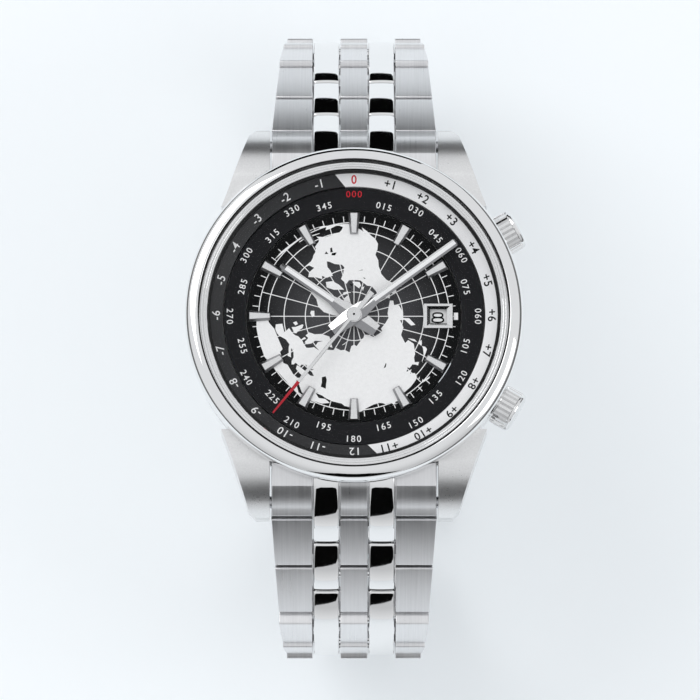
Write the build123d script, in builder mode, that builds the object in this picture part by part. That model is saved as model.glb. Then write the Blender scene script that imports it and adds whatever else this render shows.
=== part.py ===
# A world time wristwatch: dial up, +Y towards 12 o'clock, +X towards 3 o'clock, with the
# origin on the hands' axis at the case back's outer face. The closed bracelet hangs below.
from build123d import *
import math
import os

os.makedirs("parts", exist_ok=True)

# Fits
shaft_gap = 0.05
slide_gap = 0.15
seat_gap = 0.02
column_gap = 0.15
row_gap = 0.2
overrun = 1.0

# Case
case_bore_radius = 18.0
case_wall = 2.5
case_radius = case_bore_radius + case_wall
case_height = 6.2
back_thickness = 1.4
back_inset = 0.9
back_radius = case_radius - back_inset
back_edge_chamfer = 0.6
back_ring_width = 6.6
window_radius = back_radius - back_ring_width
back_crystal_thickness = 1.0
case_top = back_thickness + case_height

# Lugs, which stand in pairs around a gap for the bracelet
bracelet_width = 20.5
lug_clearance = 0.2
lug_gap = bracelet_width + 2 * lug_clearance
lug_overhang = 4.0
lug_reach = case_radius + lug_overhang
lug_root = 14.0
lug_root_width = 6.0
lug_shoulder = 15.8
lug_shoulder_width = 5.3
lug_tip_width = 1.7
lug_tip_bevel = 0.9
lug_tip_top = 2.4
lug_tip_bottom = 0.5
lug_crown_setback = 3.5
lug_crown_reach = lug_reach - lug_crown_setback
lug_crown_top = 6.3
lug_belly_setback = 3.0
lug_belly_reach = lug_reach - lug_belly_setback
lug_bottom = 0.2

# Bezel and crystal
bezel_overhang = 0.5
bezel_radius = case_radius + bezel_overhang
bezel_foot_overhang = 0.1
bezel_foot_radius = case_radius + bezel_foot_overhang
bezel_height = 3.9
bezel_waist = 1.2
bezel_shoulder_inset = 0.65
bezel_shoulder_radius = bezel_radius - bezel_shoulder_inset
bezel_shoulder = 3.1
bezel_rim_inset = 1.5
bezel_rim_radius = bezel_radius - bezel_rim_inset
bezel_lip = 0.2
crystal_radius = bezel_rim_radius - bezel_lip
crystal_gap = 0.04
crystal_thickness = 1.3
crystal_seat_depth = 0.95
bezel_top = case_top + bezel_height
crystal_bottom = bezel_top - crystal_seat_depth

# Fixed hour ring round the dial
hour_ring_gap = 0.1
hour_ring_radius = case_bore_radius - hour_ring_gap
hour_ring_width = 1.65
hour_ring_inner_radius = hour_ring_radius - hour_ring_width
hour_ring_inner_top = 8.75
hour_ring_outer_top = 9.5

# City ring, which turns under the fixed ring's inner edge
city_ring_radius = hour_ring_inner_radius - slide_gap
city_ring_width = 2.7
city_ring_inner_radius = city_ring_radius - city_ring_width
city_ring_bottom = 7.9
city_ring_thickness = 0.5
ring_teeth = 36
ring_tooth_height = 0.9
ring_tooth_root = 0.6
ring_tooth_tip = 0.3
ring_tooth_inset = 0.7
ring_tooth_inner_radius = city_ring_inner_radius + ring_tooth_inset
ring_tooth_length = 1.2
ring_tooth_outer_radius = ring_tooth_inner_radius + ring_tooth_length

# Movement ring and movement, inside the dial's radius
dial_radius = city_ring_inner_radius - slide_gap
plate_inset = 0.4
plate_radius = dial_radius - plate_inset
plate_gap = 0.1
holder_radius = case_bore_radius - slide_gap
holder_inner_radius = plate_radius + plate_gap
holder_bottom = 2.75
holder_top = 6.9
plate_bottom = 4.6
plate_top = 6.6
arbor_radius = 0.25
bridge_bottom = 2.75
bridge_thickness = 0.35
bridge_width = 8.0
bridge_inset = 0.85
bridge_reach = plate_radius - bridge_inset
pillar_width = 2.2
barrel_x = -6.2
barrel_y = 4.8
barrel_radius = 4.5
barrel_bottom = 3.2
barrel_thickness = 0.8
barrel_teeth = 36
barrel_pin_radius = 0.5
seconds_wheel_radius = 3.4
seconds_wheel_bottom = 4.15
seconds_wheel_thickness = 0.25
seconds_wheel_teeth = 24
tooth_depth = 0.3
balance_x = 6.0
balance_y = -6.2
balance_radius = 3.3
balance_rim = 0.5
balance_bottom = 3.5
balance_thickness = 0.35
balance_spoke = 0.45
balance_staff_radius = 0.2
cock_width = 2.0
cock_inset = 0.2
rotor_inset = 1.0
rotor_radius = window_radius - rotor_inset
rotor_bottom = 1.65
rotor_thickness = 0.7
rotor_web_thickness = 0.35
rotor_rim_width = 2.2
rotor_hub_radius = 2.0
rotor_post_radius = 0.9
rotor_head_radius = 1.3
rotor_head_thickness = 0.3

# Date disc and dial
date_disc_inset = 1.15
date_disc_radius = dial_radius - date_disc_inset
date_disc_width = 3.15
date_disc_inner_radius = date_disc_radius - date_disc_width
date_disc_bottom = 6.95
date_disc_thickness = 0.3
dial_bottom = 7.95
dial_thickness = 0.4
dial_foot_radius = 0.35
dial_foot_inset = 0.8
dial_foot_place = dial_radius - dial_foot_inset
dial_foot_angle = 40
dial_top = dial_bottom + dial_thickness
date_inset = 2.8
date_place = dial_radius - date_inset
date_width = 2.4
date_height = 1.9
frame_width = 3.63
frame_height = 3.16
frame_thickness = 0.35
frame_bevel = 0.25

# Applied hour markers
marker_inset = 0.25
marker_outer_radius = dial_radius - marker_inset
marker_length = 2.6
marker_inner_radius = marker_outer_radius - marker_length
marker_inner_width = 0.95
marker_outer_width = 1.45
marker_height = 0.5
marker_ridge_share = 0.3

# Hands
hand_thickness = 0.25
hour_hand_bottom = 9.0
hour_hand_inset = 2.15
hour_hand_length = dial_radius - hour_hand_inset
hour_hand_width = 0.95
minute_hand_bottom = 9.4
minute_hand_inset = 0.4
minute_hand_length = city_ring_radius - minute_hand_inset
minute_hand_width = 0.95
hand_tail = 3.4
hand_tail_width = 1.6
hand_boss_radius = 1.15
hour_hand_turn = 55.2
minute_hand_turn = -54.0
seconds_hand_bottom = 9.8
seconds_hand_thickness = 0.2
seconds_hand_length = city_ring_radius - slide_gap
seconds_hand_width = 0.42
seconds_tail = 3.6
seconds_tail_width = 0.7
seconds_boss_radius = 0.875
seconds_hand_turn = -219.0
hour_pipe_radius = 0.95
minute_pipe_radius = 0.65
hour_pipe_bottom = 7.4
hour_wheel_radius = 3.2
hour_wheel_thickness = 0.2
hour_wheel_teeth = 24

# Crowns
crown_height = 5.0
crown_angle = 30
crown_radius = 2.55
crown_flutes = 24
flute_depth = 0.17
crown_stand = 0.25
crown_start = case_radius + crown_stand
crown_length = 2.2
crown_cap_radius = 2.2
crown_cap_length = 0.5
stem_radius = 0.6
pinion_teeth = 6
pinion_radius = 2.7
pinion_root_radius = 1.8
pinion_tip_share = 0.13
pinion_root_share = 0.37
pinion_start = ring_tooth_inner_radius
pinion_end = ring_tooth_outer_radius
pocket_margin = 0.25
time_stem_start = holder_inner_radius + pocket_margin
neck_inset = 0.3
neck_start = time_stem_start + neck_inset
neck_length = 0.5
neck_radius = 0.35
lever_width = 3.0
lever_height = 3.4
lever_thickness = 0.4
crown_travel = 1.6

# Bracelet
clasp_end_width = 16.0
taper_rows = 5
row_pitch = 7.4
link_thickness = 2.8
centre_width = 3.4
polished_width = 3.2
link_chamfer = 0.3
link_relief = 0.8
link_pin_radius = 0.5
link_bore_sides = 10
bar_width = 1.6
bar_height = 1.1
first_pin_overhang = 4.4
first_pin_reach = case_radius + first_pin_overhang
first_pin_height = 0.2
end_link_slope = 40
rows_6_slopes = [45, 48, 79, 92, 114, 136, 160]
rows_12_slopes = [45, 48, 66, 77, 98, 130, 156, 174]
end_link_inset = 2.9
end_link_root = case_radius - end_link_inset
end_link_root_top = 6.9
end_link_root_bottom = 1.7
end_link_crown_overhang = 0.1
end_link_crown_reach = case_radius + end_link_crown_overhang
end_link_crown_top = 6.6
end_link_crest_overhang = 2.1
end_link_crest_reach = case_radius + end_link_crest_overhang
end_link_crest_top = 4.5
end_link_belly_overhang = 0.5
end_link_belly_reach = case_radius + end_link_belly_overhang
end_link_groove = 0.4
spring_bar_radius = 0.75
spring_bar_overhang = 1.9
spring_bar_reach = case_radius + spring_bar_overhang
spring_bar_height = 2.6
spring_bar_depth = 0.9

# Fold-over clasp
blade_thickness = 0.8
inner_blade_width = 9.6
inner_blade_bottom = -39.9
outer_blade_width = 9.6
outer_blade_bottom = -41.0
hinge_inset = 6.0
far_hinge_reach = case_radius - hinge_inset
far_hinge_height = -40.05
hinge_knuckle_radius = 0.95
hinge_knuckle_width = 4.0
near_hinge_reach = case_radius - hinge_inset
near_hinge_height = -41.5
clasp_pin_radius = 0.45
cover_floor = -43.8
cover_skin = 0.9
cover_wall = 1.0
cover_wall_top = -39.7
cover_start_inset = 3.2
cover_start = -case_radius + cover_start_inset
cover_end_inset = 2.75
cover_end = case_radius - cover_end_inset
cover_corner = 1.2
button_place = -6.0
button_length = 3.6
button_height = 1.6
button_stand = 0.6
button_depth = 2.2


def turn(points, mode=Mode.ADD):
    """Turns a section, given as radius and height pairs, about the watch's axis."""
    with BuildSketch(Plane.XZ) as section:
        with BuildLine():
            Polyline(*points, close=True)
        make_face()
    revolve(section.sketch, axis=Axis.Z, mode=mode)


def disc(plane, radius, height, mode=Mode.ADD):
    """A round boss or hole that starts on the plane."""
    with BuildSketch(plane) as section:
        Circle(radius)
    extrude(section.sketch, amount=height, mode=mode)


def plate(plane, points, height, mode=Mode.ADD):
    """An outline on the plane, extruded."""
    with BuildSketch(plane) as section:
        with BuildLine():
            Polyline(*points, close=True)
        make_face()
    extrude(section.sketch, amount=height, mode=mode)


def bar(plane, length, width, height, mode=Mode.ADD):
    """A rectangle centred on the plane, extruded."""
    with BuildSketch(plane) as section:
        Rectangle(length, width)
    extrude(section.sketch, amount=height, mode=mode)


def level(height, x=0.0, y=0.0):
    """A level plane that looks up."""
    return Plane(origin=(x, y, height))


def star(teeth, tip_radius, root_radius, tip_share=0.3, root_share=0.5):
    """The outline of a toothed wheel with straight flanks, and a tooth on its X axis."""
    points = []
    pitch = 2 * math.pi / teeth
    for tooth in range(teeth):
        for radius, share in (
            (root_radius, -root_share / 2),
            (tip_radius, -tip_share / 2),
            (tip_radius, tip_share / 2),
            (root_radius, root_share / 2),
        ):
            angle = (tooth + share) * pitch
            points.append((radius * math.cos(angle), radius * math.sin(angle)))
    return points


def stem_plane(side, reach):
    """A plane across a crown's axis, at reach from the watch's axis, that looks outwards."""
    angle = math.radians(side * crown_angle)
    out = Vector(math.cos(angle), math.sin(angle), 0)
    across = Vector(-math.sin(angle), math.cos(angle), 0)
    return Plane(origin=out * reach + Vector(0, 0, crown_height), x_dir=across, z_dir=out)


def save(piece, name):
    """Labels a finished piece and writes it."""
    piece.label = name
    export_step(piece, f"parts/{name}.step")


# Case middle with its lugs, the stems' holes and the spring bars' holes
half_gap = lug_gap / 2
lug_outline = [
    (half_gap, lug_root),
    (half_gap + lug_root_width, lug_root),
    (half_gap + lug_shoulder_width, lug_shoulder),
    (half_gap + lug_tip_width + lug_tip_bevel, lug_reach - lug_tip_bevel),
    (half_gap + lug_tip_width, lug_reach),
    (half_gap, lug_reach),
]

with BuildPart() as case_middle:
    for flip_x in (1, -1):
        for flip_y in (1, -1):
            corners = [(flip_x * x, flip_y * y) for x, y in lug_outline]
            plate(level(0), corners, case_top)
    with BuildSketch(Plane.YZ) as lug_side:
        with BuildLine():
            Line((0, case_top), (lug_root, case_top))
            ThreePointArc(
                (lug_root, case_top),
                (lug_crown_reach, lug_crown_top),
                (lug_reach, lug_tip_top),
            )
            Line((lug_reach, lug_tip_top), (lug_reach, lug_tip_bottom))
            Line((lug_reach, lug_tip_bottom), (lug_belly_reach, lug_bottom))
            Line((lug_belly_reach, lug_bottom), (lug_root, back_thickness))
            Line((lug_root, back_thickness), (0, back_thickness))
            Line((0, back_thickness), (0, case_top))
        make_face()
        mirror(about=Plane.YZ)
    extrude(lug_side.sketch, amount=2 * case_radius, both=True, mode=Mode.INTERSECT)
    disc(level(back_thickness), case_radius, case_height)
    disc(level(back_thickness), case_bore_radius, case_height, mode=Mode.SUBTRACT)
    disc(level(0), back_radius + seat_gap, back_thickness, mode=Mode.SUBTRACT)
    for side in (1, -1):
        hole = stem_plane(side, case_bore_radius - overrun)
        hole_length = case_radius - case_bore_radius + 2 * overrun
        disc(hole, stem_radius + shaft_gap, hole_length, mode=Mode.SUBTRACT)
    for side in (1, -1):
        end = half_gap + spring_bar_depth + seat_gap
        hole = Plane(
            origin=(-end, side * spring_bar_reach, spring_bar_height), z_dir=(1, 0, 0)
        )
        disc(hole, spring_bar_radius + shaft_gap, 2 * end, mode=Mode.SUBTRACT)
save(case_middle.part, "case_middle")

# Bezel, which holds the crystal on an inner ledge
with BuildPart() as bezel:
    turn(
        [
            (case_bore_radius + seat_gap, case_top),
            (bezel_foot_radius, case_top),
            (bezel_radius, case_top + bezel_waist),
            (bezel_shoulder_radius, case_top + bezel_shoulder),
            (bezel_rim_radius, bezel_top),
            (crystal_radius, bezel_top),
            (crystal_radius, crystal_bottom),
            (case_bore_radius + seat_gap, crystal_bottom),
        ]
    )
save(bezel.part, "bezel")

# Crystals
with BuildPart() as crystal:
    disc(level(crystal_bottom), crystal_radius - crystal_gap, crystal_thickness)
save(crystal.part, "crystal")

with BuildPart() as back_crystal:
    disc(level(0), window_radius - crystal_gap, back_crystal_thickness)
save(back_crystal.part, "back_crystal")

# Case back, a ring round the window
with BuildPart() as case_back:
    turn(
        [
            (window_radius, 0),
            (back_radius - back_edge_chamfer, 0),
            (back_radius, back_edge_chamfer),
            (back_radius, back_thickness),
            (window_radius, back_thickness),
        ]
    )
save(case_back.part, "case_back")

# Fixed hour ring, sloped towards the dial
with BuildPart() as hour_ring:
    turn(
        [
            (hour_ring_inner_radius, holder_top),
            (hour_ring_radius, holder_top),
            (hour_ring_radius, hour_ring_outer_top),
            (hour_ring_inner_radius, hour_ring_inner_top),
        ]
    )
save(hour_ring.part, "hour_ring")

# City ring with teeth on its underside for the upper crown's pinion
with BuildPart() as city_ring:
    disc(level(city_ring_bottom), city_ring_radius, city_ring_thickness)
    for number in range(ring_teeth):
        angle = crown_angle + 360 / ring_teeth * number
        middle = (ring_tooth_inner_radius + ring_tooth_outer_radius) / 2
        length = ring_tooth_outer_radius - ring_tooth_inner_radius
        out = Vector(math.cos(math.radians(angle)), math.sin(math.radians(angle)), 0)
        across = Vector(-out.Y, out.X, 0)
        start = out * ring_tooth_inner_radius + Vector(0, 0, city_ring_bottom)
        flank = Plane(origin=start, x_dir=across, z_dir=out)
        tooth = [
            (-ring_tooth_root / 2, 0),
            (ring_tooth_root / 2, 0),
            (ring_tooth_tip / 2, -ring_tooth_height),
            (-ring_tooth_tip / 2, -ring_tooth_height),
        ]
        plate(flank, tooth, length)
    disc(level(city_ring_bottom), city_ring_inner_radius, city_ring_thickness, mode=Mode.SUBTRACT)
save(city_ring.part, "city_ring")

# Movement ring, with a pocket for the pinion and one for the setting lever
with BuildPart() as movement_ring:
    disc(level(holder_bottom), holder_radius, holder_top - holder_bottom)
    disc(level(holder_bottom), holder_inner_radius, holder_top - holder_bottom, mode=Mode.SUBTRACT)
    channel_length = holder_radius - holder_inner_radius + 2 * overrun
    for side in (1, -1):
        channel = stem_plane(side, holder_inner_radius - overrun)
        disc(channel, stem_radius + slide_gap, channel_length, mode=Mode.SUBTRACT)
    pinion_room = 2 * (pinion_radius + pocket_margin)
    pinion_pocket = stem_plane(1, pinion_start - pocket_margin)
    pinion_depth = pinion_end - pinion_start + 2 * pocket_margin
    bar(pinion_pocket, pinion_room, 2 * holder_top, pinion_depth, mode=Mode.SUBTRACT)
    lever_room = lever_width + 2 * pocket_margin
    lever_pocket = stem_plane(-1, holder_inner_radius - overrun)
    lever_depth = neck_start + neck_length + crown_travel + pocket_margin - holder_inner_radius + overrun
    bar(lever_pocket, lever_room, 2 * holder_top, lever_depth, mode=Mode.SUBTRACT)
save(movement_ring.part, "movement_ring")

# Main plate, bored for the seconds arbor
with BuildPart() as main_plate:
    disc(level(plate_bottom), plate_radius, plate_top - plate_bottom)
    disc(level(plate_bottom), arbor_radius + shaft_gap, plate_top - plate_bottom, mode=Mode.SUBTRACT)
save(main_plate.part, "main_plate")

# Train bridge with its pillars, the rotor's post and the post's screw head
with BuildPart() as train_bridge:
    bar(level(bridge_bottom), 2 * bridge_reach, bridge_width / 2, bridge_thickness)
    for side in (1, -1):
        foot = level(bridge_bottom, side * (bridge_reach - pillar_width / 2))
        bar(foot, pillar_width, bridge_width / 2, plate_bottom - bridge_bottom)
    post_bottom = rotor_bottom - slide_gap / 2
    disc(level(post_bottom), rotor_post_radius, bridge_bottom - post_bottom)
    disc(level(post_bottom - rotor_head_thickness), rotor_head_radius, rotor_head_thickness)
save(train_bridge.part, "train_bridge")

# Balance cock, a bar over the balance that stands on the plate at the rim
balance_reach = math.hypot(balance_x, balance_y)
cock_out = Vector(balance_x, balance_y, 0) * (1 / balance_reach)


def cock_plane(start, end):
    """A level plane at the middle of a stretch of the cock."""
    middle = cock_out * ((start + end) / 2) + Vector(0, 0, bridge_bottom)
    return Plane(origin=middle, x_dir=cock_out, z_dir=(0, 0, 1))


with BuildPart() as balance_cock:
    cock_start = balance_reach - cock_width / 2
    cock_end = plate_radius - cock_inset
    foot_start = balance_reach + balance_radius + slide_gap
    bar(cock_plane(cock_start, cock_end), cock_end - cock_start, cock_width, bridge_thickness)
    foot_height = plate_bottom - bridge_bottom
    bar(cock_plane(foot_start, cock_end), cock_end - foot_start, cock_width, foot_height)
save(balance_cock.part, "balance_cock")

# Balance wheel with two spokes on its staff
with BuildPart() as balance_wheel:
    seat = level(balance_bottom, balance_x, balance_y)
    disc(seat, balance_radius, balance_thickness)
    disc(seat, balance_radius - balance_rim, balance_thickness, mode=Mode.SUBTRACT)
    bar(seat, 2 * balance_radius - balance_rim, balance_spoke, balance_thickness)
    staff_bottom = bridge_bottom + bridge_thickness + seat_gap
    staff_length = plate_bottom - seat_gap - staff_bottom
    disc(level(staff_bottom, balance_x, balance_y), balance_staff_radius, staff_length)
save(balance_wheel.part, "balance_wheel")

# Mainspring barrel on its arbor
with BuildPart() as mainspring_barrel:
    rim = star(barrel_teeth, barrel_radius, barrel_radius - tooth_depth)
    plate(level(barrel_bottom, barrel_x, barrel_y), rim, barrel_thickness)
    arbor_length = plate_bottom - seat_gap - barrel_bottom
    disc(level(barrel_bottom, barrel_x, barrel_y), barrel_pin_radius, arbor_length)
save(mainspring_barrel.part, "mainspring_barrel")

# Seconds wheel under the plate, on the arbor that carries the seconds hand
with BuildPart() as seconds_wheel:
    rim = star(seconds_wheel_teeth, seconds_wheel_radius, seconds_wheel_radius - tooth_depth)
    plate(level(seconds_wheel_bottom), rim, seconds_wheel_thickness)
    arbor_start = bridge_bottom + bridge_thickness + seat_gap
    disc(level(arbor_start), arbor_radius, seconds_hand_bottom - arbor_start)
save(seconds_wheel.part, "seconds_wheel")

# Winding rotor, a half disc with a thick rim
with BuildPart() as rotor:
    with BuildSketch(level(rotor_bottom)) as half:
        Circle(rotor_radius)
        with Locations((0, rotor_radius)):
            Rectangle(2 * rotor_radius, 2 * rotor_radius, mode=Mode.SUBTRACT)
    extrude(half.sketch, amount=rotor_thickness)
    with BuildSketch(level(rotor_bottom + rotor_web_thickness)) as web:
        Circle(rotor_radius - rotor_rim_width)
    extrude(web.sketch, amount=rotor_thickness, mode=Mode.SUBTRACT)
    disc(level(rotor_bottom), rotor_hub_radius, rotor_thickness)
    disc(level(rotor_bottom), rotor_post_radius + shaft_gap, rotor_thickness, mode=Mode.SUBTRACT)
save(rotor.part, "rotor")

# Date disc
with BuildPart() as date_disc:
    disc(level(date_disc_bottom), date_disc_radius, date_disc_thickness)
    disc(level(date_disc_bottom), date_disc_inner_radius, date_disc_thickness, mode=Mode.SUBTRACT)
save(date_disc.part, "date_disc")

# Dial with its date window, its centre hole and two feet on the plate
with BuildPart() as dial:
    disc(level(dial_bottom), dial_radius, dial_thickness)
    for side in (0, 180):
        angle = math.radians(dial_foot_angle + side)
        foot = (dial_foot_place * math.cos(angle), dial_foot_place * math.sin(angle))
        disc(level(plate_top, *foot), dial_foot_radius, dial_bottom - plate_top)
    window = level(dial_bottom, date_place)
    bar(window, date_width, date_height, dial_thickness, mode=Mode.SUBTRACT)
    disc(level(dial_bottom), hour_pipe_radius + shaft_gap, dial_thickness, mode=Mode.SUBTRACT)
save(dial.part, "dial")

# Applied hour markers, tapered towards the hands and ridged, at every hour but three
with BuildPart() as hour_markers:
    for hour in range(1, 12 + 1):
        if hour == 3:
            continue
        angle = 90 - 30 * hour
        out = Vector(math.cos(math.radians(angle)), math.sin(math.radians(angle)), 0)
        sections = []
        for radius, width in (
            (marker_inner_radius, marker_inner_width),
            (marker_outer_radius, marker_outer_width),
        ):
            start = out * radius + Vector(0, 0, dial_top)
            with BuildSketch(Plane(origin=start, x_dir=(-out.Y, out.X, 0), z_dir=out)) as cross:
                with BuildLine():
                    Polyline(
                        (-width / 2, 0),
                        (width / 2, 0),
                        (width / 2, marker_height * marker_ridge_share),
                        (0, marker_height),
                        (-width / 2, marker_height * marker_ridge_share),
                        close=True,
                    )
                make_face()
            sections.append(cross.sketch.face())
        loft(sections)
save(hour_markers.part, "hour_markers")

# Bevelled frame round the date window
with BuildPart() as date_frame:
    bar(level(dial_top, date_place), frame_width, frame_height, frame_thickness)
    top_edges = date_frame.edges().group_by(Axis.Z)[-1]
    chamfer(top_edges, length=frame_bevel)
    bar(
        level(dial_top, date_place),
        date_width,
        date_height,
        frame_thickness,
        mode=Mode.SUBTRACT,
    )
save(date_frame.part, "date_frame")


def hand_plane(height, angle):
    """A level plane whose local Y runs along a hand."""
    lean = math.radians(angle)
    return Plane(origin=(0, 0, height), x_dir=(math.cos(lean), math.sin(lean), 0))


def baton(height, angle, length, width, point):
    """A baton hand with a flared tail, a boss and a blunt or pointed end."""
    plane = hand_plane(height, angle)
    half = width / 2
    outline = [
        (-hand_tail_width / 2, -hand_tail),
        (hand_tail_width / 2, -hand_tail),
        (half, -hand_boss_radius / 2),
        (half, length - point),
        (half / 2, length),
        (-half / 2, length),
        (-half, length - point),
        (-half, -hand_boss_radius / 2),
    ]
    plate(plane, outline, hand_thickness)
    disc(level(height), hand_boss_radius, hand_thickness)


# Hour hand on its wheel's pipe
with BuildPart() as hour_hand:
    baton(hour_hand_bottom, hour_hand_turn, hour_hand_length, hour_hand_width, hour_hand_width)
    disc(level(hour_hand_bottom), hour_pipe_radius, hand_thickness, mode=Mode.SUBTRACT)
save(hour_hand.part, "hour_hand")

with BuildPart() as hour_wheel:
    rim = star(hour_wheel_teeth, hour_wheel_radius, hour_wheel_radius - tooth_depth)
    plate(level(hour_pipe_bottom), rim, hour_wheel_thickness)
    pipe_height = hour_hand_bottom + hand_thickness - hour_pipe_bottom
    disc(level(hour_pipe_bottom), hour_pipe_radius, pipe_height)
    disc(level(hour_pipe_bottom), minute_pipe_radius + shaft_gap, pipe_height, mode=Mode.SUBTRACT)
save(hour_wheel.part, "hour_wheel")

# Minute hand on its cannon pinion
with BuildPart() as minute_hand:
    baton(
        minute_hand_bottom,
        minute_hand_turn,
        minute_hand_length,
        minute_hand_width,
        minute_hand_width / 4,
    )
    disc(level(minute_hand_bottom), minute_pipe_radius, hand_thickness, mode=Mode.SUBTRACT)
save(minute_hand.part, "minute_hand")

with BuildPart() as cannon_pinion:
    pipe_start = plate_top + seat_gap
    pipe_height = minute_hand_bottom + hand_thickness - pipe_start
    disc(level(pipe_start), minute_pipe_radius, pipe_height)
    disc(level(pipe_start), arbor_radius + shaft_gap, pipe_height, mode=Mode.SUBTRACT)
save(cannon_pinion.part, "cannon_pinion")

# Seconds hand, a needle with a narrow counterweight
with BuildPart() as seconds_hand:
    half = seconds_hand_width / 2
    outline = [
        (-seconds_tail_width / 2, -seconds_tail),
        (seconds_tail_width / 2, -seconds_tail),
        (half, -seconds_boss_radius / 2),
        (half, seconds_hand_length),
        (-half, seconds_hand_length),
        (-half, -seconds_boss_radius / 2),
    ]
    plate(hand_plane(seconds_hand_bottom, seconds_hand_turn), outline, seconds_hand_thickness)
    disc(level(seconds_hand_bottom), seconds_boss_radius, seconds_hand_thickness)
save(seconds_hand.part, "seconds_hand")


def crown(side):
    """A fluted crown with a smooth cap, on the upper or the lower stem."""
    outline = star(crown_flutes, crown_radius, crown_radius - flute_depth)
    plate(stem_plane(side, crown_start), outline, crown_length)
    disc(stem_plane(side, crown_start + crown_length), crown_cap_radius, crown_cap_length)


with BuildPart() as crown_2:
    crown(1)
save(crown_2.part, "crown_2")

with BuildPart() as crown_4:
    crown(-1)
save(crown_4.part, "crown_4")

# Upper stem with the pinion, two of whose teeth stand either side of one of the city ring's
with BuildPart() as stem_2:
    disc(stem_plane(1, pinion_start), stem_radius, crown_start - pinion_start)
    pinion = star(
        pinion_teeth,
        pinion_radius,
        pinion_root_radius,
        pinion_tip_share,
        pinion_root_share,
    )
    plate(stem_plane(1, pinion_start), pinion, pinion_end - pinion_start)
save(stem_2.part, "stem_2")

# Lower stem with a neck for the setting lever
with BuildPart() as stem_4:
    disc(stem_plane(-1, time_stem_start), stem_radius, neck_start - time_stem_start)
    disc(stem_plane(-1, neck_start), neck_radius, neck_length)
    neck_end = neck_start + neck_length
    disc(stem_plane(-1, neck_end), stem_radius, crown_start - neck_end)
save(stem_4.part, "stem_4")

# Setting lever, a fork in the stem's neck
with BuildPart() as setting_lever:
    lever_plane = stem_plane(-1, neck_start + (neck_length - lever_thickness) / 2)
    bar(lever_plane, lever_width, lever_height, lever_thickness)
    slot = [
        (-neck_radius - shaft_gap, lever_height),
        (neck_radius + shaft_gap, lever_height),
        (neck_radius + shaft_gap, -neck_radius - shaft_gap),
        (-neck_radius - shaft_gap, -neck_radius - shaft_gap),
    ]
    plate(lever_plane, slot, lever_thickness, mode=Mode.SUBTRACT)
save(setting_lever.part, "setting_lever")

# Bracelet. Each row has three brushed columns joined by a flat bar, and two polished links
# that hook over the bar and reach half a pitch on, where their pin carries the next row.
pin_inset = row_pitch / 4
half_thickness = link_thickness / 2
polished_near = centre_width / 2 + column_gap
polished_far = polished_near + polished_width
outer_near = polished_far + column_gap


def row_plane(side, pin, slope):
    """A plane across the bracelet at a pin: X runs down the chain and Y points outwards."""
    lean = math.radians(slope)
    along = (0, side * math.cos(lean), -math.sin(lean))
    return Plane(origin=(0, side * pin[0], pin[1]), x_dir=along, z_dir=(side, 0, 0))


def pins_of(slopes):
    """The pins' places down one side, from the end link's on."""
    pins = [(first_pin_reach, first_pin_height)]
    for slope in slopes:
        reach, height = pins[-1]
        lean = math.radians(slope)
        pins.append((reach + row_pitch * math.cos(lean), height - row_pitch * math.sin(lean)))
    return pins


def width_after(rows):
    """The bracelet's width after a number of rows."""
    left = max(0, taper_rows - rows)
    return clasp_end_width + (bracelet_width - clasp_end_width) * left / taper_rows


brushed_outline = [
    (-pin_inset, half_thickness - link_chamfer),
    (-pin_inset + link_chamfer, half_thickness),
    (row_pitch - pin_inset - row_gap - link_chamfer, half_thickness),
    (row_pitch - pin_inset - row_gap, half_thickness - link_chamfer),
    (row_pitch - pin_inset - row_gap, -half_thickness),
    (-pin_inset + link_relief, -half_thickness),
    (-pin_inset, -half_thickness + link_relief),
]
bar_middle = row_pitch - 2 * pin_inset
bar_low = -half_thickness + link_chamfer
bar_outline = [
    (bar_middle - bar_width / 2, bar_low),
    (bar_middle + bar_width / 2, bar_low),
    (bar_middle + bar_width / 2, bar_low + bar_height),
    (bar_middle - bar_width / 2, bar_low + bar_height),
]
notch = bar_width / 2 + seat_gap
polished_outline = [
    (pin_inset + row_gap, half_thickness - link_chamfer),
    (pin_inset + row_gap + link_chamfer, half_thickness),
    (row_pitch + pin_inset - link_chamfer, half_thickness),
    (row_pitch + pin_inset, half_thickness - link_chamfer),
    (row_pitch + pin_inset, -half_thickness + link_relief),
    (row_pitch + pin_inset - link_relief, -half_thickness),
    (bar_middle + notch, -half_thickness),
    (bar_middle + notch, bar_low + bar_height + seat_gap),
    (bar_middle - notch, bar_low + bar_height + seat_gap),
    (bar_middle - notch, -half_thickness),
    (pin_inset + row_gap, -half_thickness),
]


def add_row(plane, near_width, far_width):
    """One row of the bracelet at its near pin's plane."""
    middle = plane.offset(-centre_width / 2)
    plate(middle, brushed_outline, centre_width)
    with BuildSketch(middle) as bore:
        RegularPolygon(link_pin_radius + shaft_gap, link_bore_sides, major_radius=False)
    extrude(bore.sketch, amount=centre_width, mode=Mode.SUBTRACT)
    column = near_width / 2 - outer_near
    for offset in (outer_near, -near_width / 2):
        plate(plane.offset(offset), brushed_outline, column)
    plate(plane.offset(-outer_near), bar_outline, 2 * outer_near)
    if far_width < near_width:
        narrowing = (near_width - far_width) / 2
        for flip in (1, -1):
            start = plane.from_local_coords((-pin_inset, 0, flip * near_width / 2))
            end = plane.from_local_coords(
                (row_pitch - pin_inset, 0, flip * (near_width / 2 - narrowing))
            )
            up = Vector(*plane.y_dir)
            slant = Plane(origin=start, x_dir=end - start, z_dir=(end - start).cross(up) * flip)
            split(bisect_by=slant, keep=Keep.BOTTOM)
    add_polished(plane)


def add_polished(plane):
    """Two polished links and the pin between them."""
    for offset in (polished_near, -polished_far):
        plate(plane.offset(offset), polished_outline, polished_width)
    far_pin = plane.shift_origin(plane.from_local_coords((row_pitch, 0, 0)))
    disc(far_pin.offset(-polished_near), link_pin_radius, 2 * polished_near)


pins_12 = pins_of(rows_12_slopes)
pins_6 = pins_of(rows_6_slopes)

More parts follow.
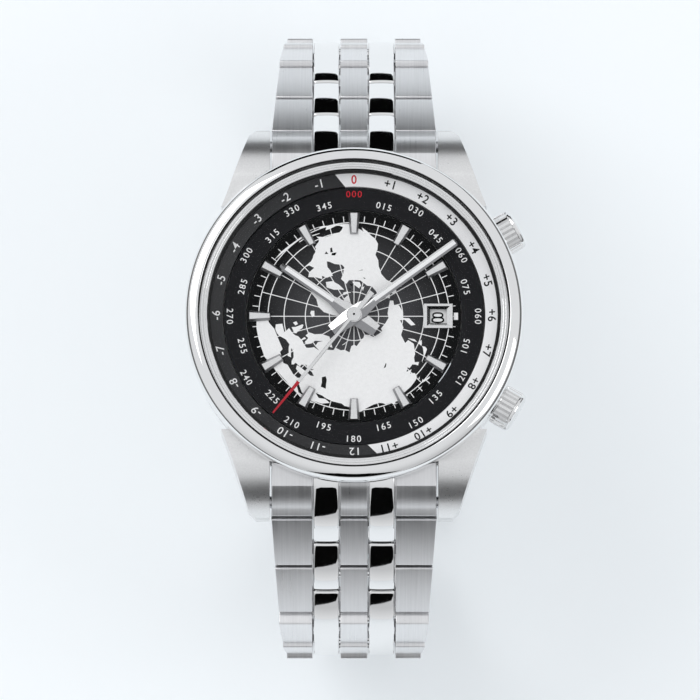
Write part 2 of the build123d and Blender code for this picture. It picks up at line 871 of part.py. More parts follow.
for side, slopes, pins, name in (
    (1, rows_12_slopes, pins_12, "row_12"),
    (-1, rows_6_slopes, pins_6, "row_6"),
):
    for number, slope in enumerate(slopes):
        with BuildPart() as row:
            plane = row_plane(side, pins[number], slope)
            add_row(plane, width_after(number), width_after(number + 1))
        save(row.part, f"{name}_{number + 1}")


# End links between the lugs, hollowed to the case's round wall
def local_point(plane, u, w):
    """A point of a row plane as a pair of reach and height."""
    point = plane.from_local_coords((u, w, 0))
    return abs(point.Y), point.Z


def end_link(side):
    """An end link: five columns on a core, with the first pin."""
    plane = row_plane(side, pins_12[0], end_link_slope)
    wall = [
        (end_link_root, end_link_root_bottom),
        (end_link_root, end_link_root_top),
        (end_link_crown_reach, end_link_crown_top),
        (end_link_crest_reach, end_link_crest_top),
    ]
    brushed_end = -pin_inset - row_gap
    brushed = wall + [
        local_point(plane, brushed_end - link_chamfer, half_thickness),
        local_point(plane, brushed_end, half_thickness - link_chamfer),
        local_point(plane, brushed_end, -half_thickness),
        (end_link_belly_reach, end_link_root_bottom),
    ]
    polished = wall + [
        local_point(plane, pin_inset - link_chamfer, half_thickness),
        local_point(plane, pin_inset, half_thickness - link_chamfer),
        local_point(plane, pin_inset, -half_thickness + link_relief),
        local_point(plane, pin_inset - link_relief, -half_thickness),
        (end_link_belly_reach, end_link_root_bottom),
    ]
    core = [
        (end_link_root, end_link_root_bottom),
        (end_link_root, end_link_root_top - end_link_groove),
        (end_link_crown_reach - end_link_groove, end_link_crown_top - end_link_groove),
        (end_link_crest_reach - end_link_groove, end_link_crest_top - end_link_groove),
        local_point(plane, brushed_end - end_link_groove, half_thickness - end_link_groove),
        local_point(plane, brushed_end - end_link_groove, -half_thickness + link_chamfer),
        (end_link_belly_reach, end_link_root_bottom),
    ]
    across = Plane(origin=(0, 0, 0), x_dir=(0, side, 0), z_dir=(side, 0, 0))
    half_width = bracelet_width / 2

    def columns(points, start, width):
        plate(across.offset(start), points, width)

    columns(brushed, -centre_width / 2, centre_width)
    columns(brushed, outer_near, half_width - outer_near)
    columns(brushed, -half_width, half_width - outer_near)
    columns(polished, polished_near, polished_width)
    columns(polished, -polished_far, polished_width)
    columns(core, -half_width, 2 * half_width)
    disc(level(0), case_radius + seat_gap, case_top, mode=Mode.SUBTRACT)
    bore = Plane(
        origin=(-half_width, side * spring_bar_reach, spring_bar_height), z_dir=(1, 0, 0)
    )
    disc(bore, spring_bar_radius + shaft_gap, 2 * half_width, mode=Mode.SUBTRACT)
    disc(plane.offset(-polished_near), link_pin_radius, 2 * polished_near)


with BuildPart() as end_link_12:
    end_link(1)
save(end_link_12.part, "end_link_12")

with BuildPart() as end_link_6:
    end_link(-1)
save(end_link_6.part, "end_link_6")

# Spring bars, from lug to lug through the end links
with BuildPart() as spring_bars:
    for side in (1, -1):
        half_length = half_gap + spring_bar_depth
        start = Plane(
            origin=(-half_length, side * spring_bar_reach, spring_bar_height), z_dir=(1, 0, 0)
        )
        disc(start, spring_bar_radius, 2 * half_length)
save(spring_bars.part, "spring_bars")


# Fold-over clasp, carried by the bracelet's 6 o'clock side
def across_at(y, z, x):
    """A plane across the clasp that looks along X, with its X along the watch's Y."""
    return Plane(origin=(x, y, z), x_dir=(0, 1, 0), z_dir=(1, 0, 0))


last_pin_y = -pins_6[-1][0]
last_pin_z = pins_6[-1][1]

with BuildPart() as clasp_inner_blade:
    blade_start = last_pin_y + pin_inset + row_gap
    blade_end = far_hinge_reach - hinge_knuckle_radius - slide_gap
    blade_plane = level(inner_blade_bottom, 0, (blade_start + blade_end) / 2)
    bar(blade_plane, inner_blade_width, blade_end - blade_start, blade_thickness)
    knuckle_start = last_pin_y
    neck = level(inner_blade_bottom, 0, (knuckle_start + blade_start) / 2)
    bar(neck, centre_width, blade_start - knuckle_start, blade_thickness)
    knuckle = across_at(last_pin_y, last_pin_z, -centre_width / 2)
    disc(knuckle, hinge_knuckle_radius, centre_width)
    disc(knuckle, link_pin_radius + shaft_gap, centre_width, mode=Mode.SUBTRACT)
    for flip in (1, -1):
        ear_width = (inner_blade_width - hinge_knuckle_width) / 2 - slide_gap
        ear_middle = flip * (inner_blade_width - ear_width) / 2
        ear_run = far_hinge_reach - blade_end + seat_gap
        ear = level(inner_blade_bottom, ear_middle, blade_end + ear_run / 2)
        bar(ear, ear_width, ear_run, blade_thickness)
        ear_start = ear_middle - ear_width / 2
        ear_plane = across_at(far_hinge_reach, far_hinge_height, ear_start)
        disc(ear_plane, hinge_knuckle_radius, ear_width)
        hole_radius = clasp_pin_radius + shaft_gap
        disc(ear_plane, hole_radius, ear_width, mode=Mode.SUBTRACT)
save(clasp_inner_blade.part, "clasp_inner_blade")

with BuildPart() as clasp_outer_blade:
    blade_start = -near_hinge_reach + hinge_knuckle_radius + slide_gap
    blade_end = far_hinge_reach - hinge_knuckle_radius - slide_gap
    blade_plane = level(outer_blade_bottom, 0, (blade_start + blade_end) / 2)
    bar(blade_plane, outer_blade_width, blade_end - blade_start, blade_thickness)
    far_run = far_hinge_reach - blade_end
    far_neck = level(outer_blade_bottom, 0, blade_end + far_run / 2)
    bar(far_neck, hinge_knuckle_width, far_run, blade_thickness)
    far_knuckle = across_at(far_hinge_reach, far_hinge_height, -hinge_knuckle_width / 2)
    disc(far_knuckle, hinge_knuckle_radius, hinge_knuckle_width)
    far_pin = across_at(far_hinge_reach, far_hinge_height, -inner_blade_width / 2)
    disc(far_pin, clasp_pin_radius, inner_blade_width)
    near_run = blade_start + near_hinge_reach
    near_neck = level(outer_blade_bottom, 0, blade_start - near_run / 2)
    bar(near_neck, hinge_knuckle_width, near_run, blade_thickness)
    near_knuckle = across_at(-near_hinge_reach, near_hinge_height, -hinge_knuckle_width / 2)
    disc(near_knuckle, hinge_knuckle_radius, hinge_knuckle_width)
    near_hole = clasp_pin_radius + shaft_gap
    disc(near_knuckle, near_hole, hinge_knuckle_width, mode=Mode.SUBTRACT)
save(clasp_outer_blade.part, "clasp_outer_blade")

cover_half = clasp_end_width / 2 + slide_gap
cover_outer = cover_half + cover_wall
with BuildPart() as clasp_cover:
    cover_middle = level(cover_floor, 0, (cover_start + cover_end) / 2)
    cover_length = cover_end - cover_start
    bar(cover_middle, 2 * cover_outer, cover_length, cover_wall_top - cover_floor)
    corner_edges = clasp_cover.edges().filter_by(Axis.Z)
    chamfer(corner_edges, length=cover_corner)
    inside = cover_middle.offset(cover_skin)
    bar(inside, 2 * cover_half, 2 * cover_length, cover_wall_top - cover_floor, mode=Mode.SUBTRACT)
    for flip in (1, -1):
        inner_face = hinge_knuckle_width / 2 + slide_gap
        ear_x = inner_face if flip > 0 else -inner_face - cover_wall
        ear_plane = across_at(-near_hinge_reach, near_hinge_height, ear_x)
        disc(ear_plane, hinge_knuckle_radius, cover_wall)
        ear_foot = cover_floor + cover_skin
        foot = level(ear_foot, ear_x + cover_wall / 2, -near_hinge_reach)
        bar(foot, cover_wall, 2 * hinge_knuckle_radius, near_hinge_height - ear_foot)
        slot_x = flip * (cover_half + cover_wall / 2)
        slot = level(near_hinge_height - button_height / 2 - seat_gap, slot_x, button_place)
        slot_length = button_length + 2 * shaft_gap
        slot_height = button_height + 2 * seat_gap
        bar(slot, 2 * cover_wall, slot_length, slot_height, mode=Mode.SUBTRACT)
    pin_plane = across_at(-near_hinge_reach, near_hinge_height, -inner_face - cover_wall)
    disc(pin_plane, clasp_pin_radius, 2 * (inner_face + cover_wall))
save(clasp_cover.part, "clasp_cover")

for flip, name in ((1, "clasp_button_right"), (-1, "clasp_button_left")):
    with BuildPart() as button:
        outer_face = cover_outer + button_stand
        middle = level(
            near_hinge_height - button_height / 2,
            flip * (outer_face - button_depth / 2),
            button_place,
        )
        bar(middle, button_depth, button_length, button_height)
    save(button.part, name)
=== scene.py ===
import bmesh
import bpy
import math
from mathutils import Matrix, Vector


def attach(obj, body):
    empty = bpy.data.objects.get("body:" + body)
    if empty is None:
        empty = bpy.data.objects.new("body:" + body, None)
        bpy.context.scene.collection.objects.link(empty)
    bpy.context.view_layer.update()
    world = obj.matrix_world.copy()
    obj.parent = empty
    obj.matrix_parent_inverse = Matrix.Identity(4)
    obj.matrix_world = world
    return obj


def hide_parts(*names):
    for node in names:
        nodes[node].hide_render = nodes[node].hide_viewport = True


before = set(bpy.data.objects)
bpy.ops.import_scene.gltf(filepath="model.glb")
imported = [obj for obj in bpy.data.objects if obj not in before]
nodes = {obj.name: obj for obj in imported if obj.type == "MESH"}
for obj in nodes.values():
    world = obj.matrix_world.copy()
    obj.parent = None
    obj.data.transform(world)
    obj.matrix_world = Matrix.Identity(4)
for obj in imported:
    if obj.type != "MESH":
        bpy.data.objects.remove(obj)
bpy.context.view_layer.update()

# The camera looks down on the dial from the 6 o'clock side, ten degrees off the dial's axis.
# It stands far off with a long lens, so that near and far links keep their size.
mm = 0.001
camera_angle = math.radians(80.25)
camera_reach = 1.5
picture_width = 86.57 * mm
aim_across, aim_below, aim_level = -0.495 * mm, 4.452 * mm, 10 * mm
to_camera = Vector((0, -math.cos(camera_angle), math.sin(camera_angle)))
picture_up = Vector((0, math.sin(camera_angle), math.cos(camera_angle)))
aim = Vector((aim_across, 0, aim_level)) - picture_up * aim_below
lens = bpy.data.cameras.new("camera")
lens.sensor_width = 36
lens.lens = 36 * camera_reach / picture_width
lens.clip_start = 0.05
lens.clip_end = 20
camera = bpy.data.objects.new("camera", lens)
camera.location = aim + to_camera * camera_reach
camera.rotation_mode = "QUATERNION"
camera.rotation_quaternion = (-to_camera).to_track_quat("-Z", "Y")
bpy.context.scene.collection.objects.link(camera)
bpy.context.scene.camera = camera

# A pale studio: a tent of even cloth, greyer low over the front so that polished metal has
# something to mirror, a wide lamp to the upper left, a fainter one to the right and a pale floor.
scene = bpy.context.scene
scene.view_settings.view_transform = "Standard"


class Wire:
    """A socket in a node tree: arithmetic on it adds Math nodes, and node() adds any other."""

    def __init__(self, tree, socket=None):
        self.tree = tree
        self.socket = socket

    def node(self, kind, settings=(), inputs=(), output=0):
        made = self.tree.nodes.new(kind)
        for name, value in dict(settings).items():
            if name == "stops":
                ramp = made.color_ramp.elements
                while len(ramp) < len(value):
                    ramp.new(0.5)
                for stop, (place, tone) in zip(ramp, value):
                    stop.position = place
                    stop.color = (*tone, 1) if isinstance(tone, tuple) else (tone, tone, tone, 1)
            else:
                setattr(made, name, value)
        for name, value in dict(inputs).items():
            socket = made.inputs[name]
            if isinstance(value, Wire):
                self.tree.links.new(value.socket, socket)
            else:
                socket.default_value = value
        return Wire(self.tree, made.outputs[output])

    def maths(self, operation, *values):
        settings = {"operation": operation}
        return self.node("ShaderNodeMath", settings, dict(enumerate(values)))

    def ramp(self, *stops):
        return self.node("ShaderNodeValToRGB", {"stops": stops}, {"Fac": self})

    def __add__(self, other):
        return self.maths("ADD", self, other)

    def __rsub__(self, other):
        return self.maths("SUBTRACT", other, self)

    def __mul__(self, other):
        return self.maths("MULTIPLY", self, other)

    __radd__ = __add__
    __rmul__ = __mul__


world = bpy.data.worlds.new("tent")
scene.world = world
world.use_nodes = True
tent = world.node_tree
tent.nodes.clear()
way = Wire(tent).node("ShaderNodeTexCoord")
level = way.node("ShaderNodeVectorMath", {"operation": "MULTIPLY"}, {0: way, 1: (1, 1, 0)})
level = way.node("ShaderNodeVectorMath", {"operation": "NORMALIZE"}, {0: level})
front = way.node("ShaderNodeVectorMath", {"operation": "DOT_PRODUCT"}, {0: level, 1: (0.1, -0.99, 0)}, 1)
rise = way.node("ShaderNodeVectorMath", {"operation": "DOT_PRODUCT"}, {0: way, 1: (0, 0, 1)}, 1)
low = rise.ramp((0.0, 0.0), (0.14, 0.5), (0.5, 0.4), (0.93, 0.0))
shade = 1 - front.ramp((0.3, 0.0), (0.8, 1.0)) * low
tent_even = way.node("ShaderNodeBackground", inputs={"Color": (0.95, 0.97, 1.0, 1), "Strength": 0.72})
cloth = {"Color": (0.96, 0.97, 0.98, 1), "Strength": shade * 0.97}
tent_shaded = way.node("ShaderNodeBackground", inputs=cloth)
tent_mix = way.node("ShaderNodeMixShader", inputs={0: 0.5, 1: tent_even, 2: tent_shaded})
tent_out = tent.nodes.new("ShaderNodeOutputWorld")
tent.links.new(tent_mix.socket, tent_out.inputs["Surface"])


def softbox(name, place, size, power):
    """A square area lamp that faces the watch."""
    lamp = bpy.data.lights.new(name, "AREA")
    lamp.shape = "SQUARE"
    lamp.size = size
    lamp.energy = power
    made = bpy.data.objects.new(name, lamp)
    made.location = place
    made.rotation_mode = "QUATERNION"
    made.rotation_quaternion = (-Vector(place)).to_track_quat("-Z", "Y")
    scene.collection.objects.link(made)


softbox("lamp_left", (-0.75, 0.55, 1.0), 0.9, 5.0)
softbox("lamp_right", (0.95, -0.25, 0.8), 0.6, 1.6)


def panel(name, corners, colour):
    """A flat, matt sheet of the studio."""
    sheet = bmesh.new()
    sheet.faces.new([sheet.verts.new(corner) for corner in corners])
    mesh = bpy.data.meshes.new(name)
    sheet.to_mesh(mesh)
    sheet.free()
    paint = bpy.data.materials.new(name)
    paint.use_nodes = True
    shader = paint.node_tree.nodes["Principled BSDF"]
    shader.inputs["Base Color"].default_value = (*colour, 1)
    shader.inputs["Roughness"].default_value = 0.9
    shader.inputs["Specular IOR Level"].default_value = 0.05
    mesh.materials.append(paint)
    made = bpy.data.objects.new(name, mesh)
    scene.collection.objects.link(made)
    return made


floor_height = -43.9 * mm
floor_corners = [(x, y, floor_height) for x, y in ((-4, -4), (4, -4), (4, 4), (-4, 4))]
floor = panel("floor", floor_corners, (0.82, 0.85, 0.87))
floor_paint = floor.data.materials[0].node_tree
floor_shader = floor_paint.nodes["Principled BSDF"]
floor_shader.inputs["Emission Color"].default_value = (0.86, 0.91, 0.94, 1)
seen = Wire(floor_paint).node("ShaderNodeLightPath", output="Is Camera Ray")
for ray in ("Is Glossy Ray", "Is Transmission Ray"):
    seen = seen.maths("MAXIMUM", seen, Wire(floor_paint).node("ShaderNodeLightPath", output=ray))
floor_paint.links.new((seen * 0.15).socket, floor_shader.inputs["Emission Strength"])

# Cards that only polished metal sees, as a photographer sets them: a narrow black one over the
# front and another low at the back for the borders in the polished links, and wide ones that rise
# on both sides for a fine line round the bezel.
foot = floor_height + 0.4 * mm
for name, tone, corners in (
    (
        "card_front", 0.0,
        ((-0.15, -0.42, 0.04), (0.15, -0.42, 0.102), (0.05, -0.42, 0.42), (-0.05, -0.42, 0.42)),
    ),
    ("card_back", 0.0, ((-0.13, 0.22, foot), (0.13, 0.34, foot), (0.13, 0.36, 0.1), (-0.13, 0.28, 0.1))),
    ("card_right", 0.16, ((0.15, -0.6, foot), (0.15, 0.5, foot), (0.5, 0.5, 0.13), (0.5, -0.6, 0.13))),
    ("card_left", 0.16, ((-0.15, -0.6, foot), (-0.15, 0.5, foot), (-0.5, 0.5, 0.09), (-0.5, -0.6, 0.09))),
):
    card = panel(name, corners, (tone, tone, tone))
    card.visible_camera = False
    card.visible_diffuse = False
    card.visible_shadow = False


# The case middle is one forging with four lugs, turned inside for the movement, its top faces
# satin finished and its edges eased by a fine chamfer.
class Finish:
    """A material with its steady values on the shader, and a wire of the object's coordinates."""

    def __init__(self, name, colour, metallic, roughness, **steady):
        self.material = bpy.data.materials.new(name)
        self.material.use_nodes = True
        tree = self.material.node_tree
        self.shader = tree.nodes["Principled BSDF"]
        self.shader.inputs["Base Color"].default_value = (*colour, 1)
        self.shader.inputs["Metallic"].default_value = metallic
        self.shader.inputs["Roughness"].default_value = roughness
        for socket, value in steady.items():
            self.shader.inputs[socket.replace("_", " ")].default_value = value
        self.place = Wire(tree).node("ShaderNodeTexCoord", output=3)

    def stretched(self, scale):
        return self.place.node("ShaderNodeMapping", inputs={"Vector": self.place, "Scale": scale})

    def noise(self, vector, scale, detail=3.0, rough=0.5):
        inputs = {"Vector": vector, "Scale": scale, "Detail": detail, "Roughness": rough}
        return self.place.node("ShaderNodeTexNoise", inputs=inputs)

    def span(self, value, low, high):
        """A value that runs from 0 to 1, brought to run from low to high."""
        inputs = {"Value": value, "To Min": low, "To Max": high}
        return self.place.node("ShaderNodeMapRange", inputs=inputs)

    def drive(self, socket, value):
        self.material.node_tree.links.new(value.socket, self.shader.inputs[socket])

    def bump(self, height, distance, strength=1.0):
        inputs = {"Height": height, "Distance": distance, "Strength": strength}
        self.drive("Normal", self.place.node("ShaderNodeBump", inputs=inputs))

    def grained(self, scale, rough, tones=None, depth=0, detail=3.0, stops=(0.2, 0.8)):
        """A fine grain that varies how rough the finish is and, where given, its tone and height."""
        grain = self.noise(self.place, scale, detail)
        self.drive("Roughness", self.span(grain, *rough))
        if tones:
            self.drive("Base Color", grain.ramp(*zip(stops, tones)))
        if depth:
            self.bump(grain, depth)


def steel(name, tone, roughness, scale, depth, grain=(1, 1, 1)):
    """Steel with fine lines: grain gives how far they stretch along each axis."""
    made = Finish(name, tone, 1.0, roughness)
    lines = made.noise(made.stretched(grain), scale, 4.0, 0.62)
    cloud = made.noise(made.place, 260, 2.0)
    made.drive("Roughness", made.span(lines * 0.6 + cloud * 0.4, roughness * 0.7, roughness * 1.3))
    light = made.span(lines * 0.75 + cloud * 0.25, 0.78, 1.12)
    shade = made.place.node(
        "ShaderNodeMix",
        {"data_type": "RGBA", "blend_type": "MULTIPLY"},
        {0: 1.0, 6: (*tone, 1), 7: light.ramp((0.0, 0.0), (1.0, 1.0))},
        output=2,
    )
    made.drive("Base Color", shade)
    made.bump(lines, depth)
    return made


satin_steel = steel("satin_steel", (0.84, 0.84, 0.84), 0.3, 5200, 0.6e-6)


def put(shape, name, body, finishes, replaces=(), crease=32):
    """The shaped mesh becomes a piece in its finishes, rides on its body and stands for its nodes."""
    mesh = bpy.data.meshes.new(name)
    shape.to_mesh(mesh)
    shape.free()
    mesh.shade_smooth()
    mesh.set_sharp_from_angle(angle=math.radians(crease))
    for one in finishes:
        mesh.materials.append(one.material)
    made = bpy.data.objects.new(name, mesh)
    scene.collection.objects.link(made)
    even = made.modifiers.new("even", "WEIGHTED_NORMAL")
    even.keep_sharp = True
    even.weight = 80
    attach(made, body)
    if replaces:
        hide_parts(*replaces)


def rounded(shape, edges, offset, segments):
    """Rounds these edges."""
    bmesh.ops.bevel(
        shape, geom=edges, offset=offset, offset_type="OFFSET", affect="EDGES", segments=segments,
        profile=0.5, material=-1, clamp_overlap=True,
    )


def eased(node, ease, segments=2):
    """A CAD piece's mesh, merged and with its flats joined, whose sharp edges are rounded."""
    shape = bmesh.new()
    shape.from_mesh(nodes[node].data)
    shape.transform(nodes[node].matrix_world)
    bmesh.ops.remove_doubles(shape, verts=shape.verts, dist=0.5e-6)
    flat_angle, sharp_angle = math.radians(0.6), math.radians(30)
    bmesh.ops.dissolve_limit(shape, angle_limit=flat_angle, verts=shape.verts, edges=shape.edges)
    sharp = [e for e in shape.edges if e.is_manifold and e.calc_face_angle() > sharp_angle]
    rounded(shape, sharp, ease * mm, segments)
    for face in shape.faces:
        face.material_index = 0
    return shape


put(eased("case_middle", 0.16), "case", "case", [satin_steel], ["case_middle"])


# The case back is a steel ring screwed in from below around a window. Its faces are turned on a
# lathe, which leaves fine rings.
turned_steel = Finish("turned_steel", (0.78, 0.78, 0.78), 1.0, 0.2)
rings = turned_steel.place.node(
    "ShaderNodeTexWave",
    {"wave_type": "RINGS", "rings_direction": "Z"},
    {"Vector": turned_steel.place, "Scale": 1600.0, "Distortion": 0.6, "Detail": 2.0},
    output=1,
)
turned_steel.drive("Roughness", turned_steel.span(rings, 0.14, 0.3))
turned_steel.bump(rings, 1.2e-6)
put(eased("case_back", 0.12), "back", "case", [turned_steel], ["case_back"])


# The bezel is a ring turned from bar and polished to a mirror, round on the outside, with a lip
# over the crystal's edge and two fine steps on the ledge under it.
polished_steel = Finish("polished_steel", (0.86, 0.86, 0.86), 1.0, 0.04)
hairlines = polished_steel.noise(polished_steel.place, 900, 3.0)
polished_steel.drive("Roughness", polished_steel.span(hairlines, 0.02, 0.07))
polished_steel.bump(hairlines, 0.12e-6, 0.4)


def spin(shape, geometry, steps, angle=math.tau):
    """Spins points, edges or faces round the watch's axis."""
    bmesh.ops.spin(
        shape, geom=geometry, cent=(0, 0, 0), axis=(0, 0, 1), dvec=(0, 0, 0), angle=angle, steps=steps,
        space=Matrix(), use_merge=angle == math.tau, use_normal_flip=False, use_duplicate=False,
    )


def spun(profile, steps=200):
    """A section of radius and height pairs in millimetres, spun once round the axis."""
    shape = bmesh.new()
    ring = [shape.verts.new((radius * mm, 0, height * mm)) for radius, height in profile]
    pairs = list(zip(ring, ring[1:]))
    if min(radius for radius, height in profile) > 0:
        pairs.append((ring[-1], ring[0]))
    edges = [shape.edges.new(pair) for pair in pairs]
    spin(shape, ring + edges, steps)
    bmesh.ops.remove_doubles(shape, verts=shape.verts, dist=0.2e-6)
    bmesh.ops.recalc_face_normals(shape, faces=shape.faces)
    return shape


bezel_profile = [
    (18.12, 7.62), (20.5, 7.62), (20.62, 7.7), (20.82, 8.1), (20.95, 8.5), (20.985, 8.9),
    (20.99, 9.4), (20.97, 9.9), (20.93, 10.25), (20.87, 10.52), (20.78, 10.75), (20.66, 10.93),
    (20.5, 11.08), (20.3, 11.21), (20.08, 11.31), (19.84, 11.39), (19.6, 11.44), (19.44, 11.46),
    (19.36, 11.45), (19.3, 11.4), (19.28, 11.3), (19.28, 10.5), (19.02, 10.5), (18.98, 10.56),
    (18.8, 10.56), (18.77, 10.48), (18.69, 10.48), (18.66, 10.56), (18.5, 10.56), (18.47, 10.48),
    (18.39, 10.48), (18.36, 10.54), (18.2, 10.54), (18.12, 10.46),
]
put(spun(bezel_profile), "bezel", "case", [polished_steel], ["bezel"], 40)


# The crystals are flat sapphire with a polished chamfer, the upper one pressed into a black gasket
# under the bezel's lip, the lower one in the back over the rotor.
sapphire = Finish(
    "sapphire", (0.06, 0.07, 0.08), 0.0, 0.01, Alpha=0.015, Specular_IOR_Level=0.3, IOR=1.77
)
sapphire.grained(130, (0.005, 0.03), detail=2.0)
crystal_profile = [(0, 10.58), (19.1, 10.58), (19.1, 11.55), (18.9, 11.8), (0, 11.84)]
put(spun(crystal_profile), "crystal", "case", [sapphire], ["crystal"])
gasket_and_gap = Finish("gasket_and_gap_black", (0.008, 0.008, 0.008), 0.0, 0.6, Specular_IOR_Level=0.2)
gasket_and_gap.grained(2400, (0.5, 0.7))
# The crystal's gasket, and a black ring that fills the gap between the hour ring and the bezel.
for name, profile in (
    ("crystal_gasket", [(19.12, 10.52), (19.26, 10.52), (19.26, 11.38), (19.12, 11.38)]),
    ("hour_ring_gap_fill", [(17.76, 9.6), (18.11, 9.6), (18.11, 10.44), (17.76, 10.44)]),
):
    put(spun(profile), name, "case", [gasket_and_gap])
back_crystal_profile = [(0, 0.02), (12.7, 0.02), (12.95, 0.2), (12.95, 0.98), (0, 0.98)]
put(spun(back_crystal_profile), "back_crystal", "case", [sapphire], ["back_crystal"])


# The dial is a lacquered brass disc, charcoal in the middle and black at its edge, cut for the
# hands and for the date and held by two feet in the main plate.
dial_radius = 13.25
dial_top = 8.35
dial_tones = (
    (0.0, (0.085, 0.085, 0.09)), (0.4, (0.06, 0.06, 0.064)), (0.78, (0.02, 0.02, 0.021)),
    (0.88, (0.004, 0.004, 0.004)), (1.0, (0.003, 0.003, 0.003)),
)
dial_black = Finish("dial_black", (0.03, 0.03, 0.03), 0.0, 0.35, Specular_IOR_Level=0.05)
dial_length = dial_black.place.node(
    "ShaderNodeVectorMath", {"operation": "LENGTH"}, {0: dial_black.stretched((1, 1, 0))}, output=1
)
dial_black.drive("Base Color", (dial_length * (1 / (dial_radius * mm))).ramp(*dial_tones))
dial_black.grained(9000, (0.28, 0.44), depth=0.2e-6, detail=2.0)


def recoated(node, finish):
    """A CAD piece keeps its shape and gets this finish."""
    for slot in nodes[node].material_slots:
        slot.link = "DATA"
        slot.material = finish.material


recoated("dial", dial_black)


# The map is printed on the dial in white: lines of latitude and longitude seen from over the pole,
# the land of the northern half, and a scale of minutes round its edge.
print_white = Finish("print_white", (0.86, 0.86, 0.86), 0.0, 0.5, Specular_IOR_Level=0.3)
print_white.grained(2600, (0.42, 0.58), ((0.84, 0.84, 0.84), (0.89, 0.89, 0.89)), stops=(0.3, 0.7))
map_radius = 12.2
first_longitude = 165
line_height = dial_top + 0.012
land_height = line_height + 0.01
print_step = 0.002
circle_radii = (3.05, 6.03, 8.66, 10.65, 11.8)
line_width = 0.11
meridian_start, meridian_end, meridian_width = 0.4, 11.8, 0.1
tick_start, tick_end = 11.9, 12.62
window_near, window_far, window_half = 9.2, 11.7, 1.2


def on_map(latitude, longitude):
    """Where a place lies on the dial, in millimetres."""
    reach = map_radius * math.cos(math.radians(latitude))
    turn = math.radians(longitude - first_longitude)
    return reach * math.cos(turn), reach * math.sin(turn)


def ribbon(shape, radius, width, height):
    """A printed circle."""
    near, far = [shape.verts.new(((radius + half) * mm, 0, height * mm)) for half in (-width / 2, width / 2)]
    spin(shape, [near, far, shape.edges.new((near, far))], 120)


def turned(shape, verts, angle):
    """Turns a part of a shape round the watch's axis."""
    bmesh.ops.rotate(shape, cent=(0, 0, 0), matrix=Matrix.Rotation(angle, 3, "Z"), verts=verts)


def stroke(shape, inner, outer, width, turn, height):
    """A printed line along a radius."""
    made = bmesh.ops.create_grid(shape, x_segments=1, y_segments=1, size=0.5)["verts"]
    bmesh.ops.scale(shape, vec=((outer - inner) * mm, width * mm, 1), verts=made)
    bmesh.ops.translate(shape, vec=((outer + inner) / 2 * mm, 0, height * mm), verts=made)
    turned(shape, made, turn)


def face_up(shape):
    """Turns every printed face to look up."""
    shape.normal_update()
    bmesh.ops.reverse_faces(shape, faces=[f for f in shape.faces if f.normal.z < 0])


grid = bmesh.new()
for radius in circle_radii:
    ribbon(grid, radius, line_width, line_height)
for meridian in range(24):
    end = meridian_end if meridian else window_near - 0.4
    angle = math.radians(15 * meridian)
    stroke(grid, meridian_start, end, meridian_width, angle, line_height + print_step)
for minute in range(60):
    width = 0.1 if minute % 5 else 0.13
    stroke(grid, tick_start, tick_end, width, math.radians(6 * minute), line_height)
stroke(grid, 12.35, 12.88, 0.9, 0, line_height + 2 * print_step)
middles = [(face, face.calc_center_median() / mm) for face in grid.faces]
in_window = [face for face, at in middles if abs(at.y) < window_half and window_near < at.x < window_far]
bmesh.ops.delete(grid, geom=in_window, context="FACES")
face_up(grid)
put(grid, "map_lines", "case", [print_white])

